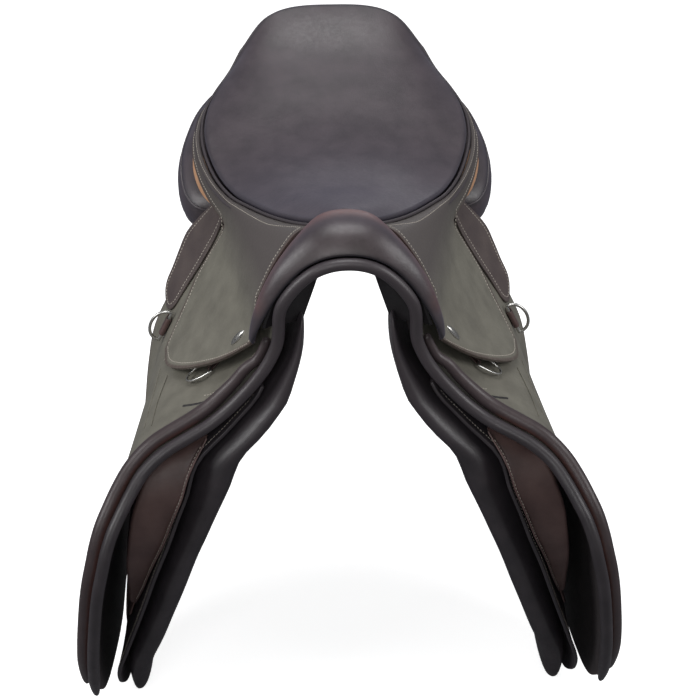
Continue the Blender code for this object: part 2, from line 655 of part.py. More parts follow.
# Rear panel, as sections across the saddle: y, middle x and z, half width, half height, tilt
REAR_SECTIONS = [(-0.118, 0.062, -0.008, 0.015, 0.007, 25), (-0.085, 0.064, -0.016, 0.020, 0.010, 22),
                 (-0.020, 0.066, -0.021, 0.029, 0.014, 18), (0.050, 0.068, -0.026, 0.033, 0.018, 14),
                 (0.082, 0.099, -0.028, 0.070, 0.028, 6), (0.108, 0.108, -0.022, 0.074, 0.034, 2),
                 (0.140, 0.110, -0.008, 0.074, 0.038, 0), (0.175, 0.106, 0.008, 0.070, 0.037, 0),
                 (0.210, 0.102, 0.025, 0.059, 0.031, -2), (0.238, 0.095, 0.039, 0.043, 0.023, -4),
                 (0.252, 0.088, 0.046, 0.027, 0.013, -6)]


def build_rear_panel(prefix, side):
    rings = smooth_curve([(y, x, z, a, b, tilt / 100) for y, x, z, a, b, tilt in REAR_SECTIONS])
    bm = bmesh.new()
    loops = []
    for i in range(SECTION_RINGS):
        y, x, z, a, b, tilt = rings(i / (SECTION_RINGS - 1))
        turn = -math.radians(tilt * 100)
        ring = []
        for k in range(SECTION_POINTS):
            angle = 2 * math.pi * k / SECTION_POINTS
            c, s = math.cos(angle), math.sin(angle)
            px = a * math.copysign(abs(c) ** SECTION_POWER, c)
            pz = b * math.copysign(abs(s) ** SECTION_POWER, s)
            ring.append(bm.verts.new((side * (x + px * math.cos(turn) - pz * math.sin(turn)), y,
                                      z + px * math.sin(turn) + pz * math.cos(turn))))
        loops.append(ring)
    for ring, following in zip(loops, loops[1:]):
        for k in range(SECTION_POINTS):
            j = (k + 1) % SECTION_POINTS
            bm.faces.new((ring[k], ring[j], following[j], following[k]))
    bm.faces.new(loops[0])
    bm.faces.new(loops[-1])
    bmesh.ops.recalc_face_normals(bm, faces=bm.faces)
    add_object(prefix + "rear_panel", finish(bm, prefix + "rear_panel"), BROWN)


def edge_line(outline_edge, surface, depth, side, ahead, out):
    """Points beside a front edge: moved forwards in the leather's plane and outwards from it."""
    line = smooth_curve(outline_edge)

    def read(t):
        y, z = line(t)
        here = depth(y, z) if callable(depth) else depth
        point = on_surface(surface, y, z, here)
        before, after = line(max(t - 0.02, 0)), line(min(t + 0.02, 1))
        along = on_surface(surface, *after, here) - on_surface(surface, *before, here)
        normal = point - on_surface(surface, y, z, here + 0.002)
        normal.normalize()
        forward = normal.cross(along).normalized()
        if forward.y > 0:
            forward.negate()
        point += forward * ahead + normal * out
        return Vector((side * point.x, point.y, point.z))
    return read


def sampled(read, start, end, count):
    return [read(start + (end - start) * i / (count - 1)) for i in range(count)]


def build_rolls(prefix, side):
    pipe_ahead = PIPE_RADIUS + LAY
    roll_out = ROLL_RADIUS + 2 * LAY
    pipe = edge_line(FLAP_FRONT, outer_x, FLAP_THICKNESS / 2, side, pipe_ahead, 0.0)
    tube(prefix + "flap_welt", sampled(pipe, 0.02, 0.985, 16), PIPE_RADIUS, BROWN, 2)
    roll = edge_line(FLAP_FRONT, outer_x, 0.0, side, -ROLL_BACK, roll_out)
    tube(prefix + "flap_roll", sampled(roll, 0.03, 0.985, 16), ROLL_RADIUS, BROWN, 2)
    upper = edge_line(UPPER_FRONT, outer_x, upper_depth, side, -ROLL_BACK, roll_out)
    tube(prefix + "upper_roll", sampled(upper, 0.015, 0.62, 9), ROLL_RADIUS, BROWN, 2)


def build_front_welt():
    """One pipe from the left flap's top over the arch to the right flap's top."""
    pipe = edge_line(UPPER_FRONT, outer_x, lambda y, z: upper_depth(y, z) + FLAP_THICKNESS / 2, 1,
                     PIPE_RADIUS + LAY, 0.0)
    low = sampled(pipe, 0.015, 0.80, 10)
    arch = []
    for i, share in enumerate((0.80, 0.70, 0.62, 0.56)):
        point, after = Vector(roll_low(share)), Vector(roll_low(share + 0.02))
        along = after - point
        inward = Vector((-abs(along.z), 0, -abs(along.x))).normalized()
        arch.append(point + inward * (PIPE_RADIUS + 3 * LAY))
    crown = Vector(roll_low(0.5)) - Vector((0, 0, PIPE_RADIUS + 3 * LAY))
    half = low + arch
    route = smooth_curve([tuple(p) for p in half] + [tuple(crown)]
                         + [(-p.x, p.y, p.z) for p in half[::-1]])
    tube("front_welt", [route(i / 38) for i in range(39)], PIPE_RADIUS, BROWN, 2)


def build_billets(prefix, side):
    outer = BILLET_STANDOFF + BILLET_THICKNESS
    half = BILLET_WIDTH / 2
    for i, name in enumerate(("front_billet", "middle_billet", "rear_billet")):
        y = BILLET_FRONT_Y + BILLET_PITCH * i

        def strap(u, v, y=y):
            z = BILLET_END_Z + (BILLET_TOP_Z - BILLET_END_Z) * v
            taper = BILLET_TIP + (1 - BILLET_TIP) * ease(z, BILLET_END_Z, BILLET_END_Z + BILLET_WIDTH)
            return y + half * taper * (2 * u - 1), z
        leather(prefix + name, side_patch(strap, sweat_x, -outer, side), 2, 10, BILLET_THICKNESS,
                EDGE, side < 0)

    def guard(u, v):
        first = BILLET_FRONT_Y - half - GUARD_OVERHANG
        last = BILLET_FRONT_Y + 2 * BILLET_PITCH + half + GUARD_OVERHANG
        return first + (last - first) * u, GUARD_LOW_Z + GUARD_HEIGHT * v
    leather(prefix + "buckle_guard",
            side_patch(guard, sweat_x, -outer - GUARD_LAY - GUARD_THICKNESS, side), 4, 3,
            GUARD_THICKNESS, EDGE, side < 0)


def prism(name, outline, thickness, place, look, side, bevel=0.0):
    """A flat outline with its thickness along the frame's third axis, mirrored to the right side."""
    bm = bmesh.new()
    corners = [bm.verts.new((x, y, -thickness / 2)) for x, y in outline]
    face = bm.faces.new(corners)
    raised = bmesh.ops.extrude_face_region(bm, geom=[face])["geom"]
    bmesh.ops.translate(bm, vec=(0, 0, thickness),
                        verts=[item for item in raised if isinstance(item, bmesh.types.BMVert)])
    if bevel:
        bmesh.ops.recalc_face_normals(bm, faces=bm.faces)
        bmesh.ops.bevel(bm, geom=list(bm.edges), offset=bevel, segments=1, profile=0.5,
                        affect="EDGES", material=-1)
    bmesh.ops.transform(bm, matrix=place, verts=bm.verts)
    bmesh.ops.scale(bm, vec=(side, 1, 1), verts=bm.verts)
    bmesh.ops.recalc_face_normals(bm, faces=bm.faces)
    return add_object(name, finish(bm, name), look, smooth=False)


def axes(origin, first, second):
    """A frame with two directions in the outline's plane and the third across it."""
    first = first.normalized()
    third = first.cross(second).normalized()
    second = third.cross(first)
    return Matrix.Translation(origin) @ Matrix((
        (first.x, second.x, third.x), (first.y, second.y, third.y),
        (first.z, second.z, third.z))).to_4x4()


def directions(y, z, depth):
    """On the left side: the point, and the ways to the rear, up the leather and outwards."""
    here = on_surface(outer_x, y, z, depth)
    rear = (on_surface(outer_x, y + 0.01, z, depth) - on_surface(outer_x, y - 0.01, z, depth)).normalized()
    up = on_surface(outer_x, y, z + 0.01, depth) - on_surface(outer_x, y, z - 0.01, depth)
    out = rear.cross(up).normalized()
    return here, rear, out.cross(rear).normalized(), out


def build_stirrup_bar(prefix, side):
    here, rear, up, out = directions(BAR_Y, BAR_Z, BAR_POCKET - LAY)
    half = BAR_LENGTH / 2
    blade_out = BAR_POCKET - LAY - LAY
    blade_in = blade_out - BAR_BLADE
    hook = [(-half, 0), (half, 0), (half, BAR_FOOT), (BAR_POST - half, BAR_FOOT),
            (BAR_POST - half, blade_in), (half - CATCH_LENGTH - LAY, blade_in),
            (half - CATCH_LENGTH - LAY, blade_out), (-half, blade_out)]
    place = axes(here, rear, out)
    prism(prefix + "stirrup_bar", hook, BAR_HEIGHT, place, STEEL, side)
    catch = [(half - CATCH_LENGTH, BAR_FOOT + GAP), (half, BAR_FOOT + GAP),
             (half, blade_out), (half - CATCH_LENGTH, blade_out)]
    prism(prefix + "bar_catch", catch, BAR_HEIGHT, place, STEEL, side, CATCH_BEVEL)


def loop_outline(wire, tail):
    """Leather folded round a wire at the origin, its tail lying flat on the leather below."""
    inner = wire + GAP
    outer = inner + CHAPE_THICKNESS
    steps = 8
    arc = [math.radians(-90 - 180 * i / steps) for i in range(steps + 1)]
    out = [(outer * math.cos(a), outer * math.sin(a)) for a in arc]
    back = [(inner * math.cos(a), inner * math.sin(a)) for a in reversed(arc)]
    return ([(tail, -outer)] + out + [(inner * 1.6, outer), (tail, -outer + 2 * CHAPE_THICKNESS + LAY),
            (tail, -outer + CHAPE_THICKNESS + LAY), (inner * 1.4, inner)] + back
            + [(tail, -inner)])


def dee_points(half, reach, steps=12):
    """A straight side and a bow, in the plane of the ring."""
    bow = [(half * math.cos(math.pi * i / steps), reach * math.sin(math.pi * i / steps) ** 0.8)
           for i in range(steps + 1)]
    straight = [(-half + 2 * half * i / 4, 0.0) for i in range(1, 4)]
    return bow + straight


def build_dees(prefix, side):
    here, rear, up, out = directions(DEE_Y, DEE_Z, 0.0)
    lift = LAY + CHAPE_THICKNESS + GAP + DEE_WIRE
    centre = here + out * lift
    ring = [centre + up * a + out * b for a, b in dee_points(DEE_LENGTH / 2, DEE_REACH)]
    tube(prefix + "side_dee", [(side * p.x, p.y, p.z) for p in ring], DEE_WIRE, STEEL, 2, True)
    prism(prefix + "side_chape", loop_outline(DEE_WIRE, CHAPE_TAIL), CHAPE_WIDTH,
          axes(centre, rear, out), EDGE, side)

    top = on_surface(outer_x, FRONT_DEE_Y, FRONT_DEE_Z, BAR_POCKET - FRONT_DEE_LIFT)
    tip = on_surface(outer_x, FRONT_DEE_Y, FRONT_DEE_Z - FRONT_DEE_DROP, FRONT_DEE_TIP)
    down = (tip - top).normalized()
    rear, up, out = directions(FRONT_DEE_Y, FRONT_DEE_Z, BAR_POCKET)[1:]
    ring = [top + rear * a + down * b for a, b in dee_points(FRONT_DEE_WIDTH / 2, FRONT_DEE_DROP)]
    tube(prefix + "front_dee", [(side * p.x, p.y, p.z) for p in ring], FRONT_DEE_WIRE, STEEL, 2, True)
    prism(prefix + "front_chape", loop_outline(FRONT_DEE_WIRE, FRONT_CHAPE_TAIL), FRONT_CHAPE_WIDTH,
          axes(top, up, out), EDGE, side)


def build_stud(prefix, side):
    here, rear, up, out = directions(STUD_Y, STUD_Z, -SKIRT_THICKNESS - SKIRT_LAY - LAY)
    bm = bmesh.new()
    bmesh.ops.create_uvsphere(bm, u_segments=16, v_segments=8, radius=1.0)
    bmesh.ops.bisect_plane(bm, geom=list(bm.verts) + list(bm.edges) + list(bm.faces), dist=0.00001,
                           plane_co=(0, 0, 0), plane_no=(0, 0, -1), clear_outer=True)
    bmesh.ops.holes_fill(bm, edges=[edge for edge in bm.edges if edge.is_boundary], sides=0)
    bmesh.ops.scale(bm, vec=(STUD_LENGTH / 2, STUD_WIDTH / 2, STUD_HEIGHT), verts=bm.verts)
    lean = (up + rear * -0.35).normalized()
    bmesh.ops.transform(bm, matrix=axes(here, lean, out.cross(lean)), verts=bm.verts)
    bmesh.ops.scale(bm, vec=(side, 1, 1), verts=bm.verts)
    bmesh.ops.recalc_face_normals(bm, faces=bm.faces)
    add_object(prefix + "skirt_stud", finish(bm, prefix + "skirt_stud"), STEEL)


# Lines and points on which the left side's pieces move, each with its direction

def skirt_axis():
    """Along the skirt's upper edge, on its outermost line."""
    edge = []
    for i in range(9):
        y = SKIRT_LINE[0][0] + (SKIRT_LINE[1][0] - SKIRT_LINE[0][0]) * i / 8
        z = SKIRT_LINE[0][1] + (SKIRT_LINE[1][1] - SKIRT_LINE[0][1]) * i / 8
        edge.append(on_surface(outer_x, y, z, -SKIRT_THICKNESS - SKIRT_LAY))
    along = (edge[-1] - edge[0]).normalized()
    out = directions(edge[4].y, edge[4].z, 0.0)[3]
    out = (out - along * out.dot(along)).normalized()
    reach = max((point - edge[0]).dot(out) for point in edge)
    return (edge[0] + edge[-1]) / 2 + out * reach, -along


def flap_axis():
    """Along the flap's upper edge, outside its padded roll."""
    clear = 2 * ROLL_RADIUS + 3 * LAY
    front = on_surface(outer_x, FLAP_TOP[0][0], HINGE_Z, 0.0)
    middle = on_surface(outer_x, 0.0, HINGE_Z, 0.0)
    along = (middle - front).normalized()
    out = directions(-0.1, HINGE_Z, 0.0)[3]
    return (front + middle) / 2 + out * clear, -along


def catch_axis():
    here, rear, up, out = directions(BAR_Y, BAR_Z, BAR_POCKET - LAY)
    corner = BAR_LENGTH / 2 - CATCH_PIVOT_IN
    middle = (BAR_FOOT + BAR_POCKET - 2 * LAY) / 2
    return here + rear * corner - up * (BAR_HEIGHT / 2 - CATCH_PIVOT_IN) + out * middle, -out


def side_dee_axis():
    here, rear, up, out = directions(DEE_Y, DEE_Z, 0.0)
    return here + out * (LAY + CHAPE_THICKNESS + GAP + DEE_WIRE), up


def front_dee_axis():
    rear = directions(FRONT_DEE_Y, FRONT_DEE_Z, BAR_POCKET)[1]
    return on_surface(outer_x, FRONT_DEE_Y, FRONT_DEE_Z, BAR_POCKET - FRONT_DEE_LIFT), -rear


def billet_axis():
    y = BILLET_FRONT_Y + BILLET_PITCH
    here = on_surface(sweat_x, y, BILLET_TOP_Z, 0.0)
    return here, here - on_surface(sweat_x, y, BILLET_TOP_Z, 0.01)


def guard_axis():
    y = BILLET_FRONT_Y + BILLET_PITCH
    z = GUARD_LOW_Z + GUARD_HEIGHT / 2
    depth = -BILLET_STANDOFF - BILLET_THICKNESS - GUARD_LAY
    down = (on_surface(sweat_x, BILLET_FRONT_Y, z - 0.02, depth)
            - on_surface(sweat_x, BILLET_FRONT_Y, z, depth))
    return on_surface(sweat_x, y, z, depth), Vector((down.x, 0, down.z))


MOVING = {"skirt": skirt_axis, "skirt_stud": skirt_axis, "flap": flap_axis, "flap_welt": flap_axis,
          "flap_roll": flap_axis, "bar_catch": catch_axis, "side_dee": side_dee_axis,
          "front_dee": front_dee_axis, "front_billet": billet_axis, "middle_billet": billet_axis,
          "rear_billet": billet_axis, "buckle_guard": guard_axis}


def place_origins(prefix, side):
    """Put the origin of each moving piece on its joint's line."""
    for name, axis in MOVING.items():
        point = axis()[0]
        point.x *= side
        item = bpy.data.objects[prefix + name]
        item.data.transform(Matrix.Translation(-point))
        item.location = point


clear_scene()
build_seat()
build_pommel()
build_cantle_back()
build_front_welt()
for prefix, side in (("left_", 1), ("right_", -1)):
    build_side(prefix, side)
    place_origins(prefix, side)
bpy.context.view_layer.update()
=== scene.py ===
import math

import bmesh
import bpy
import numpy as np
from mathutils import Matrix, Vector, kdtree


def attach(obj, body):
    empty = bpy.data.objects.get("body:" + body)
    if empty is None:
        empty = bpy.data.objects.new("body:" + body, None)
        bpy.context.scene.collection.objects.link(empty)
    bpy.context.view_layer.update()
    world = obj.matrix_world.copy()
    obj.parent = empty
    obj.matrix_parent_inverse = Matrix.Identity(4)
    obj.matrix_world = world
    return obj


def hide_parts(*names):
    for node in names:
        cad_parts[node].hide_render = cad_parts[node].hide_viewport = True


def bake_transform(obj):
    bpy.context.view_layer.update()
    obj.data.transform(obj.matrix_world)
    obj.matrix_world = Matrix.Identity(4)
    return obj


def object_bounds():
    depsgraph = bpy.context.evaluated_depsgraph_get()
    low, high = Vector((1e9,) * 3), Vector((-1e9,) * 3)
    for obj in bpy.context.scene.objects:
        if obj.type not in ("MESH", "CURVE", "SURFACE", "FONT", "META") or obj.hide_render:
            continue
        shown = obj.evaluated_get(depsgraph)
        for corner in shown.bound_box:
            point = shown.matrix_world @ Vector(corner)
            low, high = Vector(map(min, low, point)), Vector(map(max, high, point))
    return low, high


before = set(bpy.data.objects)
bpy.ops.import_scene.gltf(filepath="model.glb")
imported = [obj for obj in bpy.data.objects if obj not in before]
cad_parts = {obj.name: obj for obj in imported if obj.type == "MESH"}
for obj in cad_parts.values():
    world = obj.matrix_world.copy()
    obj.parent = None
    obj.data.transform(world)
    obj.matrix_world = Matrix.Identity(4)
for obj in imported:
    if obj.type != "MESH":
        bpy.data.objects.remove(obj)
size_at_load = [list(corner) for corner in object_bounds()]


# Tree, its steel head and the webbing over it.
# Laminated beech with the grain running front to rear, the head bonded on, and linen webbing
# strained from head to cantle under the seat. The frame's own solids stay for the wood.

def tone(code):
    """A colour written as on a screen, such as 5a5560, as the linear values a shader takes."""
    parts = [int(code[i:i + 2], 16) / 255 for i in (0, 2, 4)]
    return tuple(c / 12.92 if c <= 0.04045 else ((c + 0.055) / 1.055) ** 2.4 for c in parts) + (1.0,)


def add(tree, kind, inputs=None, **settings):
    """Add a shader node: an input that is another node's socket is linked, the others are set."""
    made = tree.nodes.new(kind)
    for key, value in settings.items():
        setattr(made, key, value)
    for key, value in (inputs or {}).items():
        if isinstance(value, bpy.types.NodeSocket):
            tree.links.new(value, made.inputs[key])
        else:
            made.inputs[key].default_value = value
    return made


def blank(name):
    made = bpy.data.materials.new(name)
    made.use_nodes = True
    return made, made.node_tree, made.node_tree.nodes["Principled BSDF"]


def mixed(tree, share, first, second):
    """The colour between two, as the share says."""
    return add(tree, "ShaderNodeMix", {0: share, 6: first, 7: second}, data_type="RGBA").outputs[2]


def spread(tree, value, low, high, start=0.0, end=1.0):
    """A value between low and high taken to one between start and end."""
    return add(tree, "ShaderNodeMapRange", {"Value": value, "From Min": low, "From Max": high,
                                            "To Min": start, "To Max": end}).outputs["Result"]


def beech(name, dark, light):
    """Laminated beech: fine lengthwise grain, satin lacquer."""
    made, tree, shader = blank(name)
    place = add(tree, "ShaderNodeTexCoord").outputs["Object"]
    drawn = add(tree, "ShaderNodeMapping", {"Vector": place, "Scale": (220.0, 14.0, 220.0)}).outputs[0]
    grain = add(tree, "ShaderNodeTexNoise", {"Vector": drawn, "Scale": 1.0, "Detail": 5.0}).outputs[0]
    share = spread(tree, grain, 0.35, 0.65)
    tree.links.new(mixed(tree, share, tone(dark), tone(light)), shader.inputs["Base Color"])
    tree.links.new(spread(tree, grain, 0.3, 0.7, 0.38, 0.55), shader.inputs["Roughness"])
    bump = add(tree, "ShaderNodeBump", {"Height": grain, "Strength": 0.3, "Distance": 0.0003})
    tree.links.new(bump.outputs[0], shader.inputs["Normal"])
    return made


def webbing():
    """Linen webbing: warp and weft threads about a millimetre apart."""
    made, tree, shader = blank("woven linen webbing")
    place = add(tree, "ShaderNodeTexCoord").outputs["Object"]
    warp = add(tree, "ShaderNodeTexWave", {"Vector": place, "Scale": 300.0, "Distortion": 0.4},
               wave_type="BANDS", bands_direction="X").outputs["Fac"]
    weft = add(tree, "ShaderNodeTexWave", {"Vector": place, "Scale": 300.0, "Distortion": 0.4},
               wave_type="BANDS", bands_direction="Y").outputs["Fac"]
    weave = add(tree, "ShaderNodeMath", {0: warp, 1: weft}, operation="MULTIPLY").outputs[0]
    tree.links.new(mixed(tree, weave, tone("8f8468"), tone("cfc4a4")), shader.inputs["Base Color"])
    shader.inputs["Roughness"].default_value = 0.9
    bump = add(tree, "ShaderNodeBump", {"Height": weave, "Strength": 0.8, "Distance": 0.0004})
    tree.links.new(bump.outputs[0], shader.inputs["Normal"])
    return made


WEBBING = webbing()
for name, look in (("tree", beech("laminated beech, lacquered", "b98f5e", "dcb98a")),
                   ("tree_head", beech("laminated beech, black varnish", "171314", "221d1d"))):
    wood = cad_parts[name]
    wood.data.materials.clear()
    wood.data.materials.append(look)


def smooth_curve(points):
    """A smooth curve through points, read from 0 to 1 along its chord length."""
    knots = np.array(points, float)
    steps = np.linalg.norm(np.diff(knots, axis=0), axis=1)
    run = np.concatenate([[0.0], np.cumsum(steps)]) / steps.sum()
    slopes = np.gradient(knots, run, axis=0)

    def read(t):
        i = int(np.clip(np.searchsorted(run, t, side="right") - 1, 0, len(run) - 2))
        span = run[i + 1] - run[i]
        s = (t - run[i]) / span
        return ((2 * s**3 - 3 * s**2 + 1) * knots[i] + (s**3 - 2 * s**2 + s) * span * slopes[i]
                + (3 * s**2 - 2 * s**3) * knots[i + 1] + (s**3 - s**2) * span * slopes[i + 1])
    return read


def profile(pairs):
    """A smooth value that depends on one coordinate, given as (coordinate, value) pairs."""
    knots = np.array(sorted(pairs), float)
    xs, values = knots[:, 0].tolist(), knots[:, 1].tolist()
    slopes = np.gradient(knots[:, 1], knots[:, 0]).tolist()

    def read(x):
        x = min(max(x, xs[0]), xs[-1])
        i = 0
        while i < len(xs) - 2 and x >= xs[i + 1]:
            i += 1
        span = xs[i + 1] - xs[i]
        s = (x - xs[i]) / span
        return ((2 * s**3 - 3 * s**2 + 1) * values[i] + (s**3 - 2 * s**2 + s) * span * slopes[i]
                + (3 * s**2 - 2 * s**3) * values[i + 1] + (s**3 - s**2) * span * slopes[i + 1])
    return read


def ease(x, start, end):
    """0 at start, 1 at end, smooth between."""
    t = min(max((x - start) / (end - start), 0.0), 1.0)
    return t * t * (3 - 2 * t)


def patch(bottom, top, front, rear):
    """A surface filled in between four edge curves: u runs front to rear, v bottom to top."""
    low, high = smooth_curve(bottom), smooth_curve(top)
    fore, aft = smooth_curve(front), smooth_curve(rear)
    low_0, low_1, high_0, high_1 = low(0), low(1), high(0), high(1)

    def read(u, v):
        corners = ((1 - u) * (1 - v) * low_0 + u * (1 - v) * low_1
                   + (1 - u) * v * high_0 + u * v * high_1)
        return (1 - v) * low(u) + v * high(u) + (1 - u) * fore(v) + u * aft(v) - corners
    return read


def mirror_points(points):
    return [(-x, y, z) for x, y, z in points]


def both_halves(half):
    """A half curve that ends in the middle plane, run from the right side to the left."""
    return mirror_points(half) + half[-2::-1]


# The seat's plan, shared by the webbing, the seat, its welt and the leathers round it
SEAT_HEAD_Y = -0.155
CANTLE_Y = 0.250
COVER_THICKNESS = 0.0025
FOAM_THICKNESS = 0.015
WEB_THICKNESS = 0.0018
WELT_RADIUS = 0.0018
LAY = 0.0006
PAD_LAY = 0.0012
SEAT_RIM = [(0.030, SEAT_HEAD_Y + 0.005, 0.073), (0.047, -0.125, 0.063), (0.069, -0.090, 0.052),
            (0.093, -0.045, 0.041), (0.118, 0.000, 0.035), (0.137, 0.045, 0.040),
            (0.150, 0.100, 0.060), (0.146, 0.140, 0.075), (0.135, 0.165, 0.086),
            (0.117, 0.195, 0.101), (0.105, 0.212, 0.118)]
CANTLE_HALF = [(0.105, 0.212, 0.118), (0.073, CANTLE_Y - 0.010, 0.148), (0.0, CANTLE_Y, 0.157)]
HEAD_HALF = [(0.030, SEAT_HEAD_Y + 0.005, 0.073), (0.0, SEAT_HEAD_Y, 0.0885)]
seat_middle = profile([(SEAT_HEAD_Y, 0.0885), (-0.10, 0.073), (-0.03, 0.056), (0.03, 0.055),
                       (0.09, 0.070), (0.15, 0.097), (0.20, 0.124), (0.235, 0.148), (CANTLE_Y, 0.157)])
seat_plan = patch(both_halves(HEAD_HALF), both_halves(CANTLE_HALF), mirror_points(SEAT_RIM), SEAT_RIM)


def seat_top(u, v):
    """The seat's upper face: u runs from the right side to the left, v from the head to the cantle."""
    point = Vector(seat_plan(u, v))
    middle = seat_plan(0.5, v)
    point.z += (seat_middle(middle[1]) - middle[2]) * (1 - abs(2 * u - 1) ** 2.4)
    return point


def normal_at(surface, u, v, step=0.01):
    """Outward normal of a surface whose u and v run as on the left side or the seat."""
    low_u, high_u = max(u - step, 0.0), min(u + step, 1.0)
    low_v, high_v = max(v - step, 0.0), min(v + step, 1.0)
    across = Vector(surface(high_u, v)) - Vector(surface(low_u, v))
    up = Vector(surface(u, high_v)) - Vector(surface(u, low_v))
    return across.cross(up).normalized()


def seat_layer(depth, side_inset=0.0, head_inset=0.0, cantle_inset=0.0):
    """The seat's surface at a depth below the cover, drawn in from its edges."""
    def read(u, v):
        u = side_inset + (1 - 2 * side_inset) * u
        v = head_inset + (1 - head_inset - cantle_inset) * v
        return seat_top(u, v) - normal_at(seat_top, u, v) * depth
    return read


def grid_points(surface, columns, rows):
    """Points of a surface in rows from bottom to top, each row from front to rear."""
    return np.array([[surface(c / columns, r / rows) for c in range(columns + 1)]
                     for r in range(rows + 1)], float)


def mirrored(points, side):
    return np.asarray(points, float) * (side, 1, 1)


def grid_mesh(bm, points, side=1):
    """Quads through rows of points. They face outwards on either side."""
    verts = [[bm.verts.new(point) for point in row] for row in mirrored(points, side)]
    for low, high in zip(verts, verts[1:]):
        for a, b, c, d in zip(low, low[1:], high[1:], high):
            bm.faces.new((a, b, c, d) if side > 0 else (d, c, b, a))
    return verts


def new_piece(name, bm, look, sharp=40):
    """Close a mesh off as a smooth shaded object with its material."""
    mesh = bpy.data.meshes.new(name)
    bm.to_mesh(mesh)
    bm.free()
    mesh.shade_smooth()
    if sharp:
        mesh.set_sharp_from_angle(angle=math.radians(sharp))
    mesh.materials.append(look)
    item = bpy.data.objects.new(name, mesh)
    bpy.context.scene.collection.objects.link(item)
    return item


def thicken(item, thickness, edge=0.0008):
    """Give a face of leather its thickness on the inner side, with its edges rounded over."""
    solid = item.modifiers.new("thickness", "SOLIDIFY")
    solid.thickness = thickness
    solid.offset = -1
    solid.use_even_offset = True
    if edge:
        rounding = item.modifiers.new("edge", "BEVEL")
        rounding.width = edge
        rounding.segments = 2
        rounding.limit_method = "ANGLE"
        rounding.angle_limit = math.radians(50)
    return item


def settle(item, body, finish, *nodes):
    """Hang a piece on its body and hide the frame solids that it stands for; its finish is not used."""
    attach(item, body)
    if nodes:
        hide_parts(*nodes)
    return item


web_depth = COVER_THICKNESS + 2 * PAD_LAY + FOAM_THICKNESS
web_top = seat_layer(web_depth, 0.26, 0.06, 0.08)
web_weft = seat_layer(web_depth + WEB_THICKNESS / 2, 0.26, 0.06, 0.08)
bm = bmesh.new()
for start, end in ((0.0, 0.21), (0.26, 0.48), (0.52, 0.74), (0.79, 1.0)):
    grid_mesh(bm, grid_points(lambda u, v: web_top(start + (end - start) * u, v), 6, 30))
for start, end in ((0.06, 0.19), (0.36, 0.49), (0.66, 0.79)):
    grid_mesh(bm, grid_points(lambda u, v: web_weft(u, start + (end - start) * v), 20, 4))
bands = thicken(new_piece("webbing_bands", bm, WEBBING), WEB_THICKNESS / 2, 0.0)
settle(bands, "saddle", "webbing", "seat_webbing")


# Seat.
# One closed, stuffed form: calf pulled over latex foam, dished in the middle, risen to the cantle
# and rolled over at its edge, where it is sewn to the welt.

def leather(name, points, look, thickness, body, finish, nodes=(), side=1, edge=0.0008):
    """A plate of leather from a grid of points, with its thickness, set on its body."""
    bm = bmesh.new()
    grid_mesh(bm, points, side)
    item = thicken(new_piece(name, bm, look), thickness, edge)
    settle(item, body, finish, *nodes)
    return item


